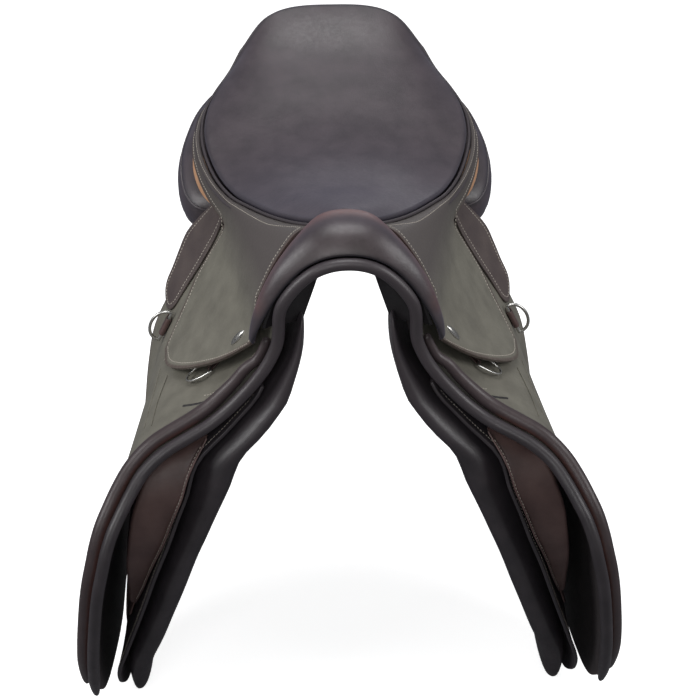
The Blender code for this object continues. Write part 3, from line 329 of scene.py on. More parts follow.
def calf(name, dark, light, worn, roughness, grain=0.0011, painted_sheen="8d8a98", painted_sheen_share=0.3, upper=None):
    """Calf leather: cloudy dye, fine grain and a soft coat; rubbed wear from one point attribute, painted
    shade in seam grooves from another, a painted sheen at grazing angles and, if given, a second tone by
    height.
    """
    made, tree, shader = blank(name)
    place = add(tree, "ShaderNodeTexCoord").outputs["Object"]
    clouds = add(tree, "ShaderNodeTexNoise", {"Vector": place, "Scale": 38.0, "Detail": 4.0}).outputs[0]
    mottle = add(tree, "ShaderNodeTexNoise", {"Vector": place, "Scale": 260.0, "Detail": 3.0}).outputs[0]
    cells = add(tree, "ShaderNodeTexVoronoi", {"Vector": place, "Scale": 1 / grain},
                feature="SMOOTH_F1").outputs["Distance"]
    pores = add(tree, "ShaderNodeTexNoise", {"Vector": place, "Scale": 2600.0, "Detail": 2.0}).outputs[0]
    dye = mixed(tree, spread(tree, clouds, 0.34, 0.66), tone(dark), tone(light))
    # A second tone by height. On the dark calf it is painted light and shade: lighter towards the top and
    # darker below, as light falls from above. On the olive calf it turns darker and browner towards the top.
    if upper:
        height = add(tree, "ShaderNodeSeparateXYZ", {0: place}).outputs["Z"]
        dye = mixed(tree, spread(tree, height, upper[1], upper[2]), dye, tone(upper[0]))
    wear = add(tree, "ShaderNodeAttribute", attribute_name="wear").outputs["Fac"]
    rubbed = add(tree, "ShaderNodeMath", {0: wear, 1: spread(tree, mottle, 0.25, 0.6, 0.6, 1.0)},
                 operation="MULTIPLY").outputs[0]
    dye = mixed(tree, rubbed, dye, tone(worn))
    # Painted shade: a point attribute mixes near-black in along seams, where shade falls in the groove.
    painted_seam_shade = add(tree, "ShaderNodeAttribute", attribute_name="painted_seam_shade").outputs["Fac"]
    dye = mixed(tree, painted_seam_shade, dye, tone("171416"))
    # Painted sheen: a greyish haze is mixed into the colour where the surface turns away from the view,
    # standing in for the light's sheen.
    facing = add(tree, "ShaderNodeLayerWeight", {"Blend": 0.35}).outputs["Facing"]
    painted_sheen_mix = add(tree, "ShaderNodeMath", {0: facing, 1: painted_sheen_share}, operation="MULTIPLY").outputs[0]
    tree.links.new(mixed(tree, painted_sheen_mix, dye, tone(painted_sheen)), shader.inputs["Base Color"])
    tree.links.new(spread(tree, mottle, 0.3, 0.7, roughness - 0.05, roughness + 0.07),
                   shader.inputs["Roughness"])
    shader.inputs["Coat Weight"].default_value = 0.12
    shader.inputs["Coat Roughness"].default_value = 0.38
    soft = add(tree, "ShaderNodeBump", {"Height": clouds, "Strength": 0.35, "Distance": 0.0012})
    fine = add(tree, "ShaderNodeBump", {"Height": cells, "Strength": 0.5, "Distance": 0.00014,
                                        "Normal": soft.outputs[0]})
    last = add(tree, "ShaderNodeBump", {"Height": pores, "Strength": 0.4, "Distance": 0.00006,
                                        "Normal": fine.outputs[0]})
    tree.links.new(last.outputs[0], shader.inputs["Normal"])
    return made


# The grey or bluish colour and share passed to each calf below are its painted sheen.
BROWN = calf("brown calf, waxed", "3a3233", "473e40", "764a3a", 0.37, painted_sheen="8688a2", painted_sheen_share=0.28)
# Painted light and shade: the dark calf turns lighter towards the top.
DARK = calf("dark brown calf, waxed", "272326", "322d30", "5e3d34", 0.40, painted_sheen_share=0.08,
            upper=("3f393c", -0.170, -0.060))


def mark(item, name, value):
    """Give each point of a mesh a value that the material reads."""
    made = item.data.attributes.new(name, "FLOAT", "POINT")
    made.data.foreach_set("value", [min(max(value(vert.co), 0.0), 1.0) for vert in item.data.vertices])
    return item


def crowded(t):
    """Spread 0 to 1 so that the steps grow close towards both ends."""
    return 0.5 - 0.5 * math.cos(math.pi * t)


def edged(t):
    """Steps that grow closer towards both ends, for leathers whose edges are worn."""
    return 0.35 * t + 0.65 * crowded(t)


def grid_normals(points):
    across = np.gradient(points, axis=1)
    up = np.gradient(points, axis=0)
    normal = np.cross(across, up)
    return normal / np.linalg.norm(normal, axis=2, keepdims=True)


def edge_distance(points, first_row=True):
    """How far each point of a grid lies from its border, with or without the first row as border."""
    def from_start(values, axis):
        steps = np.linalg.norm(np.diff(values, axis=axis), axis=2)
        run = np.cumsum(steps, axis=axis)
        shape = list(run.shape)
        shape[axis] = 1
        return np.concatenate([np.zeros(shape), run], axis=axis)
    rows, columns = from_start(points, 1), from_start(points, 0)
    ends = np.minimum(columns, columns[-1:] - columns) if first_row else columns[-1:] - columns
    return np.minimum(np.minimum(rows, rows[:, -1:] - rows), ends)


def cushion_mesh(bm, face, back, side=1, roll=0.004, first_row=True):
    """A closed padded form between two grids: its face rolls over towards the border."""
    near = np.minimum(edge_distance(face, first_row), roll)
    drop = roll - np.sqrt(np.maximum(roll**2 - (roll - near) ** 2, 0.0))
    face = face - grid_normals(face) * drop[..., None]
    front = grid_mesh(bm, face, side)
    rear = grid_mesh(bm, back, side)

    def border(rows):
        return rows[0] + [row[-1] for row in rows[1:]] + rows[-1][-2::-1] + [row[0] for row in rows[-2:0:-1]]
    outer, inner = border(front), border(rear)
    for i, vert in enumerate(outer):
        j = (i + 1) % len(outer)
        bm.faces.new((vert, inner[i], inner[j], outer[j]))
    bmesh.ops.recalc_face_normals(bm, faces=bm.faces)
    return bm


def cushion(name, face, back, look, side=1, roll=0.004, levels=1, first_row=True):
    item = new_piece(name, cushion_mesh(bmesh.new(), face, back, side, roll, first_row), look, 0)
    if levels:
        soft = item.modifiers.new("soft", "SUBSURF")
        soft.levels = levels
        soft.render_levels = levels
    return item


foam_back = seat_layer(COVER_THICKNESS + PAD_LAY + FOAM_THICKNESS, 0.03, 0.03, 0.045)
seat_face = grid_points(lambda u, v: seat_top(crowded(u), crowded(v)), 60, 72)
seat_back = grid_points(lambda u, v: foam_back(crowded(u), crowded(v)), 60, 72)
seat_face[0, :, 1] -= 0.0035
seat = cushion("seat", seat_face, seat_back, BROWN, 1, 0.0034, 1, False)
settle(seat, "saddle", "brown_calf", "seat_cover", "seat_foam")
rim_read = smooth_curve(SEAT_RIM)
cantle_read = smooth_curve(CANTLE_HALF)
rim_left = [Vector(rim_read(i / 60)) for i in range(60)] + [Vector(cantle_read(i / 24)) for i in range(25)]
rim_all = rim_left + [Vector((-p.x, p.y, p.z)) for p in rim_left[-2::-1]]
rim_tree = kdtree.KDTree(len(rim_all))
for i, point in enumerate(rim_all):
    rim_tree.insert(point, i)
rim_tree.balance()
# Painted shade: the seat darkens towards its rim, in the seam where it meets the welt.
mark(seat, "painted_seam_shade", lambda co: 0.45 * (1 - ease(rim_tree.find(co)[2], 0.002, 0.007)))


# Seat welt.
# A calf piping sewn in under the seat's edge from the pommel round the cantle, in one length.

def pipe_mesh(bm, path, radius, segments=12, closed=False):
    """A tube along a path; the radius may change along it, and open ends close to a round nose."""
    path = [Vector(point) for point in path]
    count = len(path)
    radii = list(radius) if hasattr(radius, "__len__") else [radius] * count
    ways = []
    for i in range(count):
        if closed:
            ways.append((path[(i + 1) % count] - path[i - 1]).normalized())
        else:
            ways.append((path[min(i + 1, count - 1)] - path[max(i - 1, 0)]).normalized())
    if not closed:
        nose = [(0.0, 0.05), (0.25, 0.66), (0.6, 0.93)]
        first = [path[0] - ways[0] * radii[0] * (1 - a) for a, b in nose]
        last = [path[-1] + ways[-1] * radii[-1] * (1 - a) for a, b in nose[::-1]]
        radii = ([radii[0] * b for a, b in nose] + radii + [radii[-1] * b for a, b in nose[::-1]])
        path = first + path + last
        ways = [ways[0]] * 3 + ways + [ways[-1]] * 3
    across = ways[0].orthogonal().normalized()
    rings = []
    for point, way, size in zip(path, ways, radii):
        across = (across - way * across.dot(way)).normalized()
        other = way.cross(across)
        rings.append([bm.verts.new(point + (across * math.cos(a) + other * math.sin(a)) * size)
                      for a in (2 * math.pi * k / segments for k in range(segments))])
    pairs = list(zip(rings, rings[1:])) + ([(rings[-1], rings[0])] if closed else [])
    for ring, following in pairs:
        shift = 0
        if closed and ring is rings[-1]:
            shift = min(range(segments), key=lambda s: (following[s].co - ring[0].co).length)
        for k in range(segments):
            j = (k + 1) % segments
            bm.faces.new((ring[k], ring[j], following[(j + shift) % segments],
                          following[(k + shift) % segments]))
    if not closed:
        bm.faces.new(rings[0][::-1])
        bm.faces.new(rings[-1])
    bmesh.ops.recalc_face_normals(bm, faces=bm.faces)
    return bm


def pipe(name, path, radius, look, segments=12, closed=False):
    return new_piece(name, pipe_mesh(bmesh.new(), path, radius, segments, closed), look, 60)


def sampled(read, start, end, count):
    return [Vector(read(start + (end - start) * i / (count - 1))) for i in range(count)]


welt_path = []
for i, point in enumerate(rim_all):
    ahead = rim_all[min(i + 1, len(rim_all) - 1)] - rim_all[max(i - 1, 0)]
    outward = Vector((ahead.y, -ahead.x, 0)).normalized()
    if outward.dot(Vector((point.x, point.y - 0.05, 0))) < 0:
        outward.negate()
    down = Vector((0, 0, COVER_THICKNESS + WELT_RADIUS + LAY))
    welt_path.append(point + outward * COVER_THICKNESS - down)
welt = pipe("seat_welt_piping", welt_path, WELT_RADIUS, DARK, 10)
settle(welt, "saddle", "brown_calf", "seat_welt")


# Band under the seat's edge.
# A narrow strip of dark calf on each side that closes the room between the seat's edge and the
# leathers beside it; it draws in where the facing behind the cantle takes over.

APRON_END_Y = 0.207
APRON_THICKNESS = 0.0010


def apron_edges(point, out):
    """The band's inner and outer edge beside one point of the seat's rim."""
    rear = ease(point.y, 0.140, 0.165)
    inner = point - out * (0.006 + 0.005 * rear) - Vector((0, 0, 0.0100 - 0.0025 * rear))
    outer = point + out * (0.011 - 0.0085 * rear) - Vector((0, 0, 0.0125))
    return inner, outer


sides = [(point, Vector((welt_path[i].x - point.x, welt_path[i].y - point.y, 0)).normalized())
         for i, point in enumerate(rim_all) if point.y < APRON_END_Y]
bm = bmesh.new()
for run in (sides[:len(sides) // 2], sides[len(sides) // 2:]):
    grid_mesh(bm, [list(edge) for edge in zip(*(apron_edges(point, out) for point, out in run))])
apron = thicken(new_piece("seat_apron_leather", bm, DARK), APRON_THICKNESS, 0.0)
settle(apron, "saddle", "brown_calf")


# Leather behind the cantle.
# A facing of brown calf that closes the seat's rear between the welt and the panels, tacked on
# and stitched along its lower edge.

CANTLE_FACING = SEAT_RIM[-3:] + CANTLE_HALF[1:]
CANTLE_SKIRT_Z = 0.088
CANTLE_FACING_HEIGHT = 0.018
facing_end = smooth_curve(CANTLE_FACING)


def cantle_facing(u, v):
    share = abs(2 * u - 1)
    point = Vector(facing_end(1 - share))
    top = point + Vector((0.02 * point.x, 0.0035, -2 * WELT_RADIUS - COVER_THICKNESS - 1.5 * LAY))
    low = point + Vector((-0.02 * point.x, 0.004, 0))
    low.z = min(CANTLE_SKIRT_Z, top.z - CANTLE_FACING_HEIGHT)
    here = low + (top - low) * v
    here.x = here.x if u < 0.5 else -here.x
    return here


def thread_look():
    """Waxed linen thread, pale beige."""
    made, tree, shader = blank("waxed linen thread")
    place = add(tree, "ShaderNodeTexCoord").outputs["Object"]
    fibre = add(tree, "ShaderNodeTexNoise", {"Vector": place, "Scale": 900.0, "Detail": 2.0}).outputs[0]
    tree.links.new(mixed(tree, fibre, tone("a59d93"), tone("c6bfb4")), shader.inputs["Base Color"])
    shader.inputs["Roughness"].default_value = 0.7
    return made


THREAD = thread_look()


def stitches(name, route, pitch=0.0040, length=0.0030, radius=0.00048, lift=0.0):
    """A row of stitches along a route of (point, outward normal) pairs, as one mesh."""
    points = np.array([p for p, n in route], float)
    normals = np.array([n for p, n in route], float)
    run = np.concatenate([[0.0], np.cumsum(np.linalg.norm(np.diff(points, axis=0), axis=1))])
    verts, faces = [], []
    for k in range(int(run[-1] / pitch)):
        at = (k + 0.5) * pitch
        ends = [np.array([np.interp(at + shift, run, points[:, i]) for i in range(3)])
                for shift in (-length / 2, length / 2)]
        out = np.array([np.interp(at, run, normals[:, i]) for i in range(3)])
        way = ends[1] - ends[0]
        way /= np.linalg.norm(way)
        out = out - way * out.dot(way)
        out /= np.linalg.norm(out)
        across = np.cross(way, out)
        base = len(verts)
        centre = (ends[0] + ends[1]) / 2 + out * lift
        for reach, size in ((-0.5, 0.0), (-0.36, 1.0), (0.36, 1.0), (0.5, 0.0)):
            if not size:
                verts.append(centre + way * reach * length - out * radius * 0.6)
                continue
            for j in range(6):
                angle = 2 * math.pi * j / 6
                verts.append(centre + way * reach * length
                             + (across * math.cos(angle) + out * math.sin(angle)) * radius)
        for j in range(6):
            a, b = base + 1 + j, base + 1 + (j + 1) % 6
            faces += [(base, b, a), (a, b, b + 6, a + 6), (a + 6, b + 6, base + 13)]
    mesh = bpy.data.meshes.new(name)
    mesh.from_pydata(verts, [], faces)
    mesh.shade_smooth()
    mesh.materials.append(THREAD)
    item = bpy.data.objects.new(name, mesh)
    bpy.context.scene.collection.objects.link(item)
    return item


def route_on(surface, places, side=1, out=0.0):
    """Points and normals along (u, v) places of a surface, mirrored for the right side."""
    route = []
    for u, v in places:
        normal = normal_at(surface, u, v)
        point = Vector(surface(u, v)) + normal * out
        route.append((Vector((side * point.x, point.y, point.z)),
                      Vector((side * normal.x, normal.y, normal.z))))
    return route


def row(start, end, count=60):
    """Places on a straight way through a patch."""
    return [(start[0] + (end[0] - start[0]) * i / count, start[1] + (end[1] - start[1]) * i / count)
            for i in range(count + 1)]


facing = new_piece("cantle_facing", bmesh.new(), BROWN)
bm = bmesh.new()
grid_mesh(bm, grid_points(cantle_facing, 72, 10))
bm.to_mesh(facing.data)
bm.free()
facing.data.shade_smooth()
thicken(facing, COVER_THICKNESS)
settle(facing, "saddle", "brown_calf", "cantle_back")
settle(stitches("cantle_facing_stitches", route_on(cantle_facing, row((0.03, 0.14), (0.97, 0.14), 90))),
       "saddle", "brown_calf")


# Gullet lining.
# Black lining leather drawn tight under the tree from the front welt to the cantle; the saddle
# rests on it when it hangs on a rack.

def plain_leather(name, dark, light, roughness, relief=0.0001):
    """Lining or strap leather: even dye, flat grain, rubbed wear, painted shade in seam grooves and a weaker
    painted sheen, as on the calf.
    """
    # A weaker painted sheen at grazing angles.
    return calf(name, dark, light, "5b463c", roughness, 0.0009, "6f6a70", 0.12)


LINING = plain_leather("black lining leather", "161416", "201d1f", 0.6)
LINING_THICKNESS = 0.003
gullet_top = profile([(-0.21, 0.0500), (-0.17, 0.040), (-0.12, 0.018), (-0.06, 0.003), (0.0, 0.0),
                      (0.10, 0.001), (0.18, 0.012), (0.25, 0.030)])
gullet_rise = profile([(-0.21, 0.036), (-0.12, 0.018), (-0.04, 0.014), (0.0, 0.016), (0.25, 0.016)])


CHEEK = 0.24          # share of the half width that hangs down as a cheek
CHEEK_DROP = 0.040
LINING_FRONT_Y = -0.2108
LINING_REAR_Y = 0.244


def gullet(u, v):
    """Across the arch and, at the front, down its two cheeks to the panels."""
    y = LINING_FRONT_Y + (LINING_REAR_Y - LINING_FRONT_Y) * v
    share = 2 * u - 1
    angle = math.radians(80) * math.copysign(min(abs(share) / (1 - CHEEK), 1.0), share)
    down = max(abs(share) - 1 + CHEEK, 0.0) / CHEEK * (1 - ease(y, -0.190, -0.120))
    out = 0.013 * down + 0.040 * ease(abs(share), 0.30, 1 - CHEEK) * (1 - ease(y, LINING_FRONT_Y, -0.188))
    lip = 0.008 * (1 - ease(y, LINING_FRONT_Y, -0.207)) * (1 - ease(abs(share), 0.30, 1 - CHEEK))
    return Vector(((0.0342 + lip) * math.sin(angle) + math.copysign(out, share), y,
                   gullet_top(y) + LINING_THICKNESS + lip - gullet_rise(y) * (1 - math.cos(angle))
                   - CHEEK_DROP * down))


leather("gullet_lining_leather", grid_points(lambda u, v: gullet(u, v ** 1.5), 40, 70), LINING,
        LINING_THICKNESS, "saddle", "lining_leather", ("gullet_lining",))


# Pommel roll.
# A crescent of stuffed brown calf over the head of the tree, sewn to the seat behind and to the
# front welt below; its top is rubbed reddish where hands and rein buckles touch it.

POMMEL_FACE_Y = -0.2165
ROLL_BULGE = 0.013
ROLL_TOP = [(0.0, -0.160, 0.0905), (0.025, -0.163, 0.0868), (0.0475, -0.172, 0.067),
            (0.066, -0.182, 0.045), (0.0825, -0.190, 0.016), (0.092, -0.196, -0.012),
            (0.0955, -0.201, -0.036)]
ROLL_LOW = [(0.0, POMMEL_FACE_Y, 0.0655), (0.022, POMMEL_FACE_Y, 0.0625),
            (0.041, POMMEL_FACE_Y, 0.0535), (0.058, POMMEL_FACE_Y, 0.0375),
            (0.074, POMMEL_FACE_Y, 0.0145), (0.088, -0.2145, -0.013), (0.0985, -0.2115, -0.036)]
roll_top = smooth_curve(mirror_points(ROLL_TOP[::-1]) + ROLL_TOP[1:])
roll_low = smooth_curve(mirror_points(ROLL_LOW[::-1]) + ROLL_LOW[1:])


def pommel_surface(u, v):
    """u runs from the right tip to the left, v from the welt at the front to the seat."""
    low, top = Vector(roll_low(u)), Vector(roll_top(u))
    chord = top - low
    ahead = Vector(roll_top(min(u + 0.02, 1.0))) - Vector(roll_top(max(u - 0.02, 0.0)))
    outward = ahead.cross(chord).normalized()
    fullness = max(math.sin(math.pi * u), 0.0) ** 0.6 * 0.75 + 0.25
    return low + chord * v + outward * ROLL_BULGE * fullness * max(math.sin(math.pi * v), 0.0) ** 0.8


face = grid_points(lambda u, v: pommel_surface(u, crowded(v)), 120, 28)
back = face - grid_normals(face) * 0.0065
middle = face.mean(axis=0, keepdims=True)
back = back + (middle - back) * 0.04
pommel = cushion("pommel_roll_calf", face, back, BROWN, 1, 0.0025)
top_line = [Vector(roll_top(0.5 + i / 200)) for i in range(-75, 76)]
low_line = [Vector(roll_low(i / 200)) for i in range(201)]


def tree_of(points):
    found = kdtree.KDTree(len(points))
    for i, point in enumerate(points):
        found.insert(point, i)
    found.balance()
    return found


top_tree, low_tree = tree_of(top_line), tree_of(low_line)
mark(pommel, "wear", lambda co: 0.85 * (1 - ease(top_tree.find(co)[2], 0.006, 0.026)))
# Painted shade: darker along the roll's lower seam at the front welt.
mark(pommel, "painted_seam_shade", lambda co: 0.8 * (1 - ease(low_tree.find(co)[2], 0.001, 0.006)))
settle(pommel, "saddle", "brown_calf", "pommel_roll")


# Leather between seat and pommel roll.
# A gusset of brown calf from under the seat's front edge to the roll's upper seam, which hollows
# a little between the two.

HEAD_WIDTH = 1.40     # 1 ends at the seat's front corners
HEAD_SEAM = 0.14      # share of the roll's upper seam for each side's front corner
GUSSET_THICKNESS = 0.0010


def seat_head(u, v):
    """From under the seat's front edge up to the pommel roll's upper seam."""
    share = (2 * u - 1) * HEAD_WIDTH
    if abs(share) > 1:
        edge = Vector(rim_read((abs(share) - 1) * HEAD_SEAM))
    else:
        edge = Vector(seat_plan((1 + abs(share)) / 2, 0.0))
    seam = Vector(roll_top(0.5 + HEAD_SEAM * abs(share))) + Vector((0, 0.001, -0.0022))
    start = edge + Vector((-0.10 * edge.x, 0.006, -0.0045))
    here = start + (seam - start) * v - Vector((0, 0, 0.003 * math.sin(math.pi * v)))
    return Vector((math.copysign(here.x, share), here.y, here.z))


leather("seat_head_leather", grid_points(seat_head, 40, 8), BROWN, GUSSET_THICKNESS, "saddle",
        "brown_calf", edge=0.0)


# Reference surfaces of the left side, which every side leather is laid on: x from y and z.
# The leathers are cut from patterns in the side view and moulded over the panels, so that each
# piece is a patch of the side view laid on one of these two faces.

side_middle = profile([(0.05, 0.108), (0.03, 0.112), (-0.02, 0.126), (-0.08, 0.161), (-0.12, 0.187),
                       (-0.16, 0.206), (-0.20, 0.217), (-0.26, 0.230), (-0.34, 0.244),
                       (-0.43, 0.256), (-0.52, 0.260)])
side_front = profile([(0.066, 0.058), (0.016, 0.081), (-0.047, 0.096), (-0.09, 0.130),
                      (-0.12, 0.165), (-0.16, 0.212), (-0.20, 0.238), (-0.254, 0.2545),
                      (-0.33, 0.267), (-0.43, 0.276), (-0.52, 0.277)])
knee_room = profile([(0.05, 0.0), (-0.10, 0.0), (-0.16, 0.028), (-0.20, 0.046), (-0.25, 0.045),
                     (-0.30, 0.035), (-0.35, 0.024), (-0.40, 0.011), (-0.44, 0.0), (-0.52, 0.0)])
FLAP_THICKNESS = 0.0045
BAR_POCKET = 0.014
BILLET_ROOM = 0.022
HEAD_THICKNESS = 0.006
REAR_FLARE = 0.009


def outer_x(y, z):
    """Outer face of the flap."""
    share = min(max(y / -0.200, 0.0), 1.25)
    return side_middle(z) + share * (side_front(z) - side_middle(z)) + REAR_FLARE * ease(y, 0.004, 0.052)


def sweat_x(y, z):
    """Outer face of the sweat flap."""
    point_room = BAR_POCKET + FLAP_THICKNESS + HEAD_THICKNESS + 3 * PAD_LAY
    room = BILLET_ROOM + (point_room - BILLET_ROOM) * ease(z, -0.160, -0.100)
    slope = (outer_x(y, z + 0.01) - outer_x(y, z - 0.01)) / 0.02
    return outer_x(y, z) - room * math.hypot(1.0, slope) - knee_room(z) * ease(y, -0.150, -0.250)


def on_surface(surface, y, z, depth):
    """The point of a side surface at y and z, moved inwards along its normal by depth."""
    step = 0.002
    dy = (surface(y + step, z) - surface(y - step, z)) / (2 * step)
    dz = (surface(y, z + step) - surface(y, z - step)) / (2 * step)
    normal = Vector((1.0, -dy, -dz)).normalized()
    return Vector((surface(y, z), y, z)) - normal * depth


def laid(outline, surface, depth):
    """A patch given in the side view, laid on a side surface at a depth that may vary."""
    def read(u, v):
        y, z = outline(u, v)
        return on_surface(surface, y, z, depth(y, z) if callable(depth) else depth)
    return read


# Panels under the rider's legs.
# Wool-flocked calf cushions that lie on the horse, fat at the front, sewn to the sweat flap all
# round, so that the section runs out to a rounded seam.

SIDES = (("left_", 1), ("right_", -1))
SWEAT_THICKNESS = 0.004
PANEL_LAY = 0.0024
panel_front = profile([(0.05, 0.012), (-0.05, 0.022), (-0.09, 0.038), (-0.15, 0.058), (-0.17, 0.061),
                       (-0.20, 0.058), (-0.25, 0.051), (-0.35, 0.045), (-0.42, 0.041), (-0.46, 0.033),
                       (-0.52, 0.021)])
PANEL_FRONT = [(-0.206, -0.506), (-0.232, -0.430), (-0.248, -0.330), (-0.246, -0.240),
               (-0.236, -0.160), (-0.220, -0.080), (-0.213, -0.004)]
PANEL_LOW = [(-0.206, -0.506), (-0.160, -0.508), (-0.110, -0.490)]
PANEL_REAR = [(-0.110, -0.490), (-0.060, -0.370), (-0.020, -0.220), (0.000, -0.120), (0.000, -0.066)]
PANEL_TOP = [(-0.213, -0.004), (-0.150, -0.016), (-0.100, -0.040), (-0.050, -0.056), (0.000, -0.066)]
panel = patch(PANEL_LOW, PANEL_TOP, PANEL_FRONT, PANEL_REAR)


def corner_cut(u, v, wide, tall, radius):
    """Draw a patch's corners in to quarter circles."""
    a, b = (0.5 - abs(u - 0.5)) * wide, (0.5 - abs(v - 0.5)) * tall
    if a < radius and b < radius:
        p, q = 1 - a / radius, 1 - b / radius
        a = radius * (1 - p * math.sqrt(1 - q * q / 2))
        b = radius * (1 - q * math.sqrt(1 - p * p / 2))
        u = 0.5 + math.copysign(0.5 - a / wide, u - 0.5)
        v = 0.5 + math.copysign(0.5 - b / tall, v - 0.5)
    return u, v


def panel_faces(columns, rows):
    """The panel's outer and inner face, running out to a round seam at mid thickness."""
    outer, inner = [], []
    for r in range(rows + 1):
        outer.append([])
        inner.append([])
        for c in range(columns + 1):
            u, v = crowded(c / columns), crowded(r / rows)
            wide = np.linalg.norm(panel(1.0, v) - panel(0.0, v))
            y, z = panel(*corner_cut(u, v, wide, 0.44, 0.014 + 0.010 * (1 - v)))
            seam = on_surface(sweat_x, y, z, SWEAT_THICKNESS + PANEL_LAY)
            roll = ease(y, -0.130, -0.240)
            thick = 0.022 * (1 - roll) + panel_front(z) * roll
            round_u = max(1 - abs(2 * u - 1) ** 4, 0.0) ** 0.5
            round_v = max(1 - abs(2 * v - 1) ** 10, 0.0) ** 0.5
            full = round_u * round_v
            outer[-1].append(Vector((seam.x - thick * 0.42 * (1 - full), seam.y, seam.z)))
            inner[-1].append(Vector((seam.x - thick * (0.42 + 0.58 * full), seam.y, seam.z)))
    return np.array(outer, float), np.array(inner, float)


outer, inner = panel_faces(34, 52)
for prefix, side in SIDES:
    bm = bmesh.new()
    front = grid_mesh(bm, outer, side)
    rear = grid_mesh(bm, inner, side)
    bmesh.ops.remove_doubles(bm, verts=bm.verts, dist=0.00005)
    bmesh.ops.recalc_face_normals(bm, faces=bm.faces)
    cushion_piece = new_piece(prefix + "panel_cushion", bm, DARK, 0)
    settle(cushion_piece, "saddle", "brown_calf", prefix + "panel")


# Rear panels.
# Gusseted, wool-flocked cushions under the seat, with a piped seam along the outer side.

REAR_SECTIONS = [(-0.118, 0.062, -0.008, 0.015, 0.007, 25), (-0.085, 0.064, -0.016, 0.020, 0.010, 22),
                 (-0.020, 0.066, -0.021, 0.029, 0.014, 18), (0.050, 0.068, -0.026, 0.033, 0.018, 14),
                 (0.082, 0.099, -0.028, 0.070, 0.028, 6), (0.108, 0.108, -0.022, 0.074, 0.034, 2),
                 (0.140, 0.110, -0.008, 0.074, 0.038, 0), (0.175, 0.106, 0.008, 0.070, 0.037, 0),
                 (0.210, 0.102, 0.025, 0.059, 0.031, -2), (0.238, 0.095, 0.039, 0.043, 0.023, -4),
                 (0.252, 0.088, 0.046, 0.027, 0.013, -6)]
rear_rings = smooth_curve([(y, x, z, a, b, tilt / 100) for y, x, z, a, b, tilt in REAR_SECTIONS])


def rear_point(t, angle, grow=1.0):
    """A point of the rear panel: t runs front to rear, the angle round the section."""
    y, x, z, a, b, tilt = rear_rings(t)
    turn = -math.radians(tilt * 100)
    c, s = math.cos(angle), math.sin(angle)
    px = grow * a * math.copysign(abs(c) ** 0.75, c)
    pz = grow * b * math.copysign(abs(s) ** 0.75, s)
    return Vector((x + px * math.cos(turn) - pz * math.sin(turn), y,
                   z + px * math.sin(turn) + pz * math.cos(turn)))


def rear_panel_mesh(side, rings=44, around=48):
    bm = bmesh.new()
    loops = []
    stations = ([(0.0, 0.35), (0.0, 0.75)] + [(i / rings, 1.0) for i in range(1, rings)]
                + [(1.0, 0.8), (1.0, 0.4)])
    for t, grow in stations:
        ring = []
        for k in range(around):
            angle = 2 * math.pi * (k + 0.5) / around
            point = rear_point(t, angle, grow)
            ring.append(bm.verts.new((side * point.x, point.y, point.z)))
        loops.append(ring)
    for ring, following in zip(loops, loops[1:]):
        for k in range(around):
            j = (k + 1) % around
            bm.faces.new((ring[k], ring[j], following[j], following[k]))
    bm.faces.new(loops[0])
    bm.faces.new(loops[-1])
    bmesh.ops.recalc_face_normals(bm, faces=bm.faces)
    bmesh.ops.smooth_vert(bm, verts=bm.verts, factor=0.5, use_axis_x=True, use_axis_y=True,
                          use_axis_z=True)
    return bm


gusset_angles = (0.42, -0.42)
for prefix, side in SIDES:
    cushion_piece = new_piece(prefix + "rear_panel_cushion", rear_panel_mesh(side), BROWN, 0)
    lines = []
    bm = bmesh.new()
    for angle in gusset_angles:
        seam = [rear_point(0.34 + 0.62 * i / 60, angle, 1.0) for i in range(61)]
        seam += [rear_point(0.96 - 0.62 * i / 60, math.pi - angle, 1.0) for i in range(61)]
        seam = seam[:61]
        lines += seam
        pipe_mesh(bm, [(side * p.x, p.y, p.z) for p in seam], 0.0011, 8)
    seam_tree = tree_of([Vector((side * p.x, p.y, p.z)) for p in lines])
    # Painted shade along the piped seams.
    mark(cushion_piece, "painted_seam_shade", lambda co: 0.7 * (1 - ease(seam_tree.find(co)[2], 0.001, 0.005)))
    settle(cushion_piece, "saddle", "brown_calf", prefix + "rear_panel")
    settle(new_piece(prefix + "rear_panel_piping", bm, BROWN), "saddle", "brown_calf")


# Sweat flaps.
# Thick leather between the panel and the girth straps, on which the knee and thigh blocks sit.

# With a painted sheen at grazing angles.
RUSSET = calf("reddish brown leather", "4a3633", "594440", "7a5548", 0.48, 0.0010, "8a7f86", 0.22)
SWEAT_FRONT = [(-0.215, -0.485), (-0.245, -0.430), (-0.262, -0.330), (-0.258, -0.250),
               (-0.236, -0.170), (-0.216, -0.115), (-0.208, -0.088)]
SWEAT_LOW = [(-0.215, -0.485), (-0.150, -0.495), (-0.080, -0.475)]
SWEAT_REAR = [(-0.080, -0.475), (-0.040, -0.360), (-0.005, -0.220), (0.015, -0.120), (0.020, -0.084)]
SWEAT_TOP = [(-0.208, -0.088), (0.020, -0.084)]
sweat_plan = patch(SWEAT_LOW, SWEAT_TOP, SWEAT_FRONT, SWEAT_REAR)
sweat = laid(lambda u, v: sweat_plan(*corner_cut(u, v, 0.14 + 0.09 * v, 0.40, 0.003 + 0.022 * (1 - v))),
             sweat_x, 0.0)
sweat_points = grid_points(sweat, 30, 40)
sweat_hem = ([(0.03, 0.97 - 0.94 * i / 80) for i in range(81)]
             + [(0.03 + 0.94 * i / 40, 0.03) for i in range(41)]
             + [(0.97, 0.03 + 0.94 * i / 80) for i in range(81)])
for prefix, side in SIDES:
    leather(prefix + "sweat_flap_leather", sweat_points, DARK, SWEAT_THICKNESS, "saddle", "brown_calf",
            (prefix + "sweat_flap",), side, edge=0.001)
    settle(stitches(prefix + "sweat_flap_stitches", route_on(sweat, sweat_hem, side)), "saddle",
           "brown_calf")


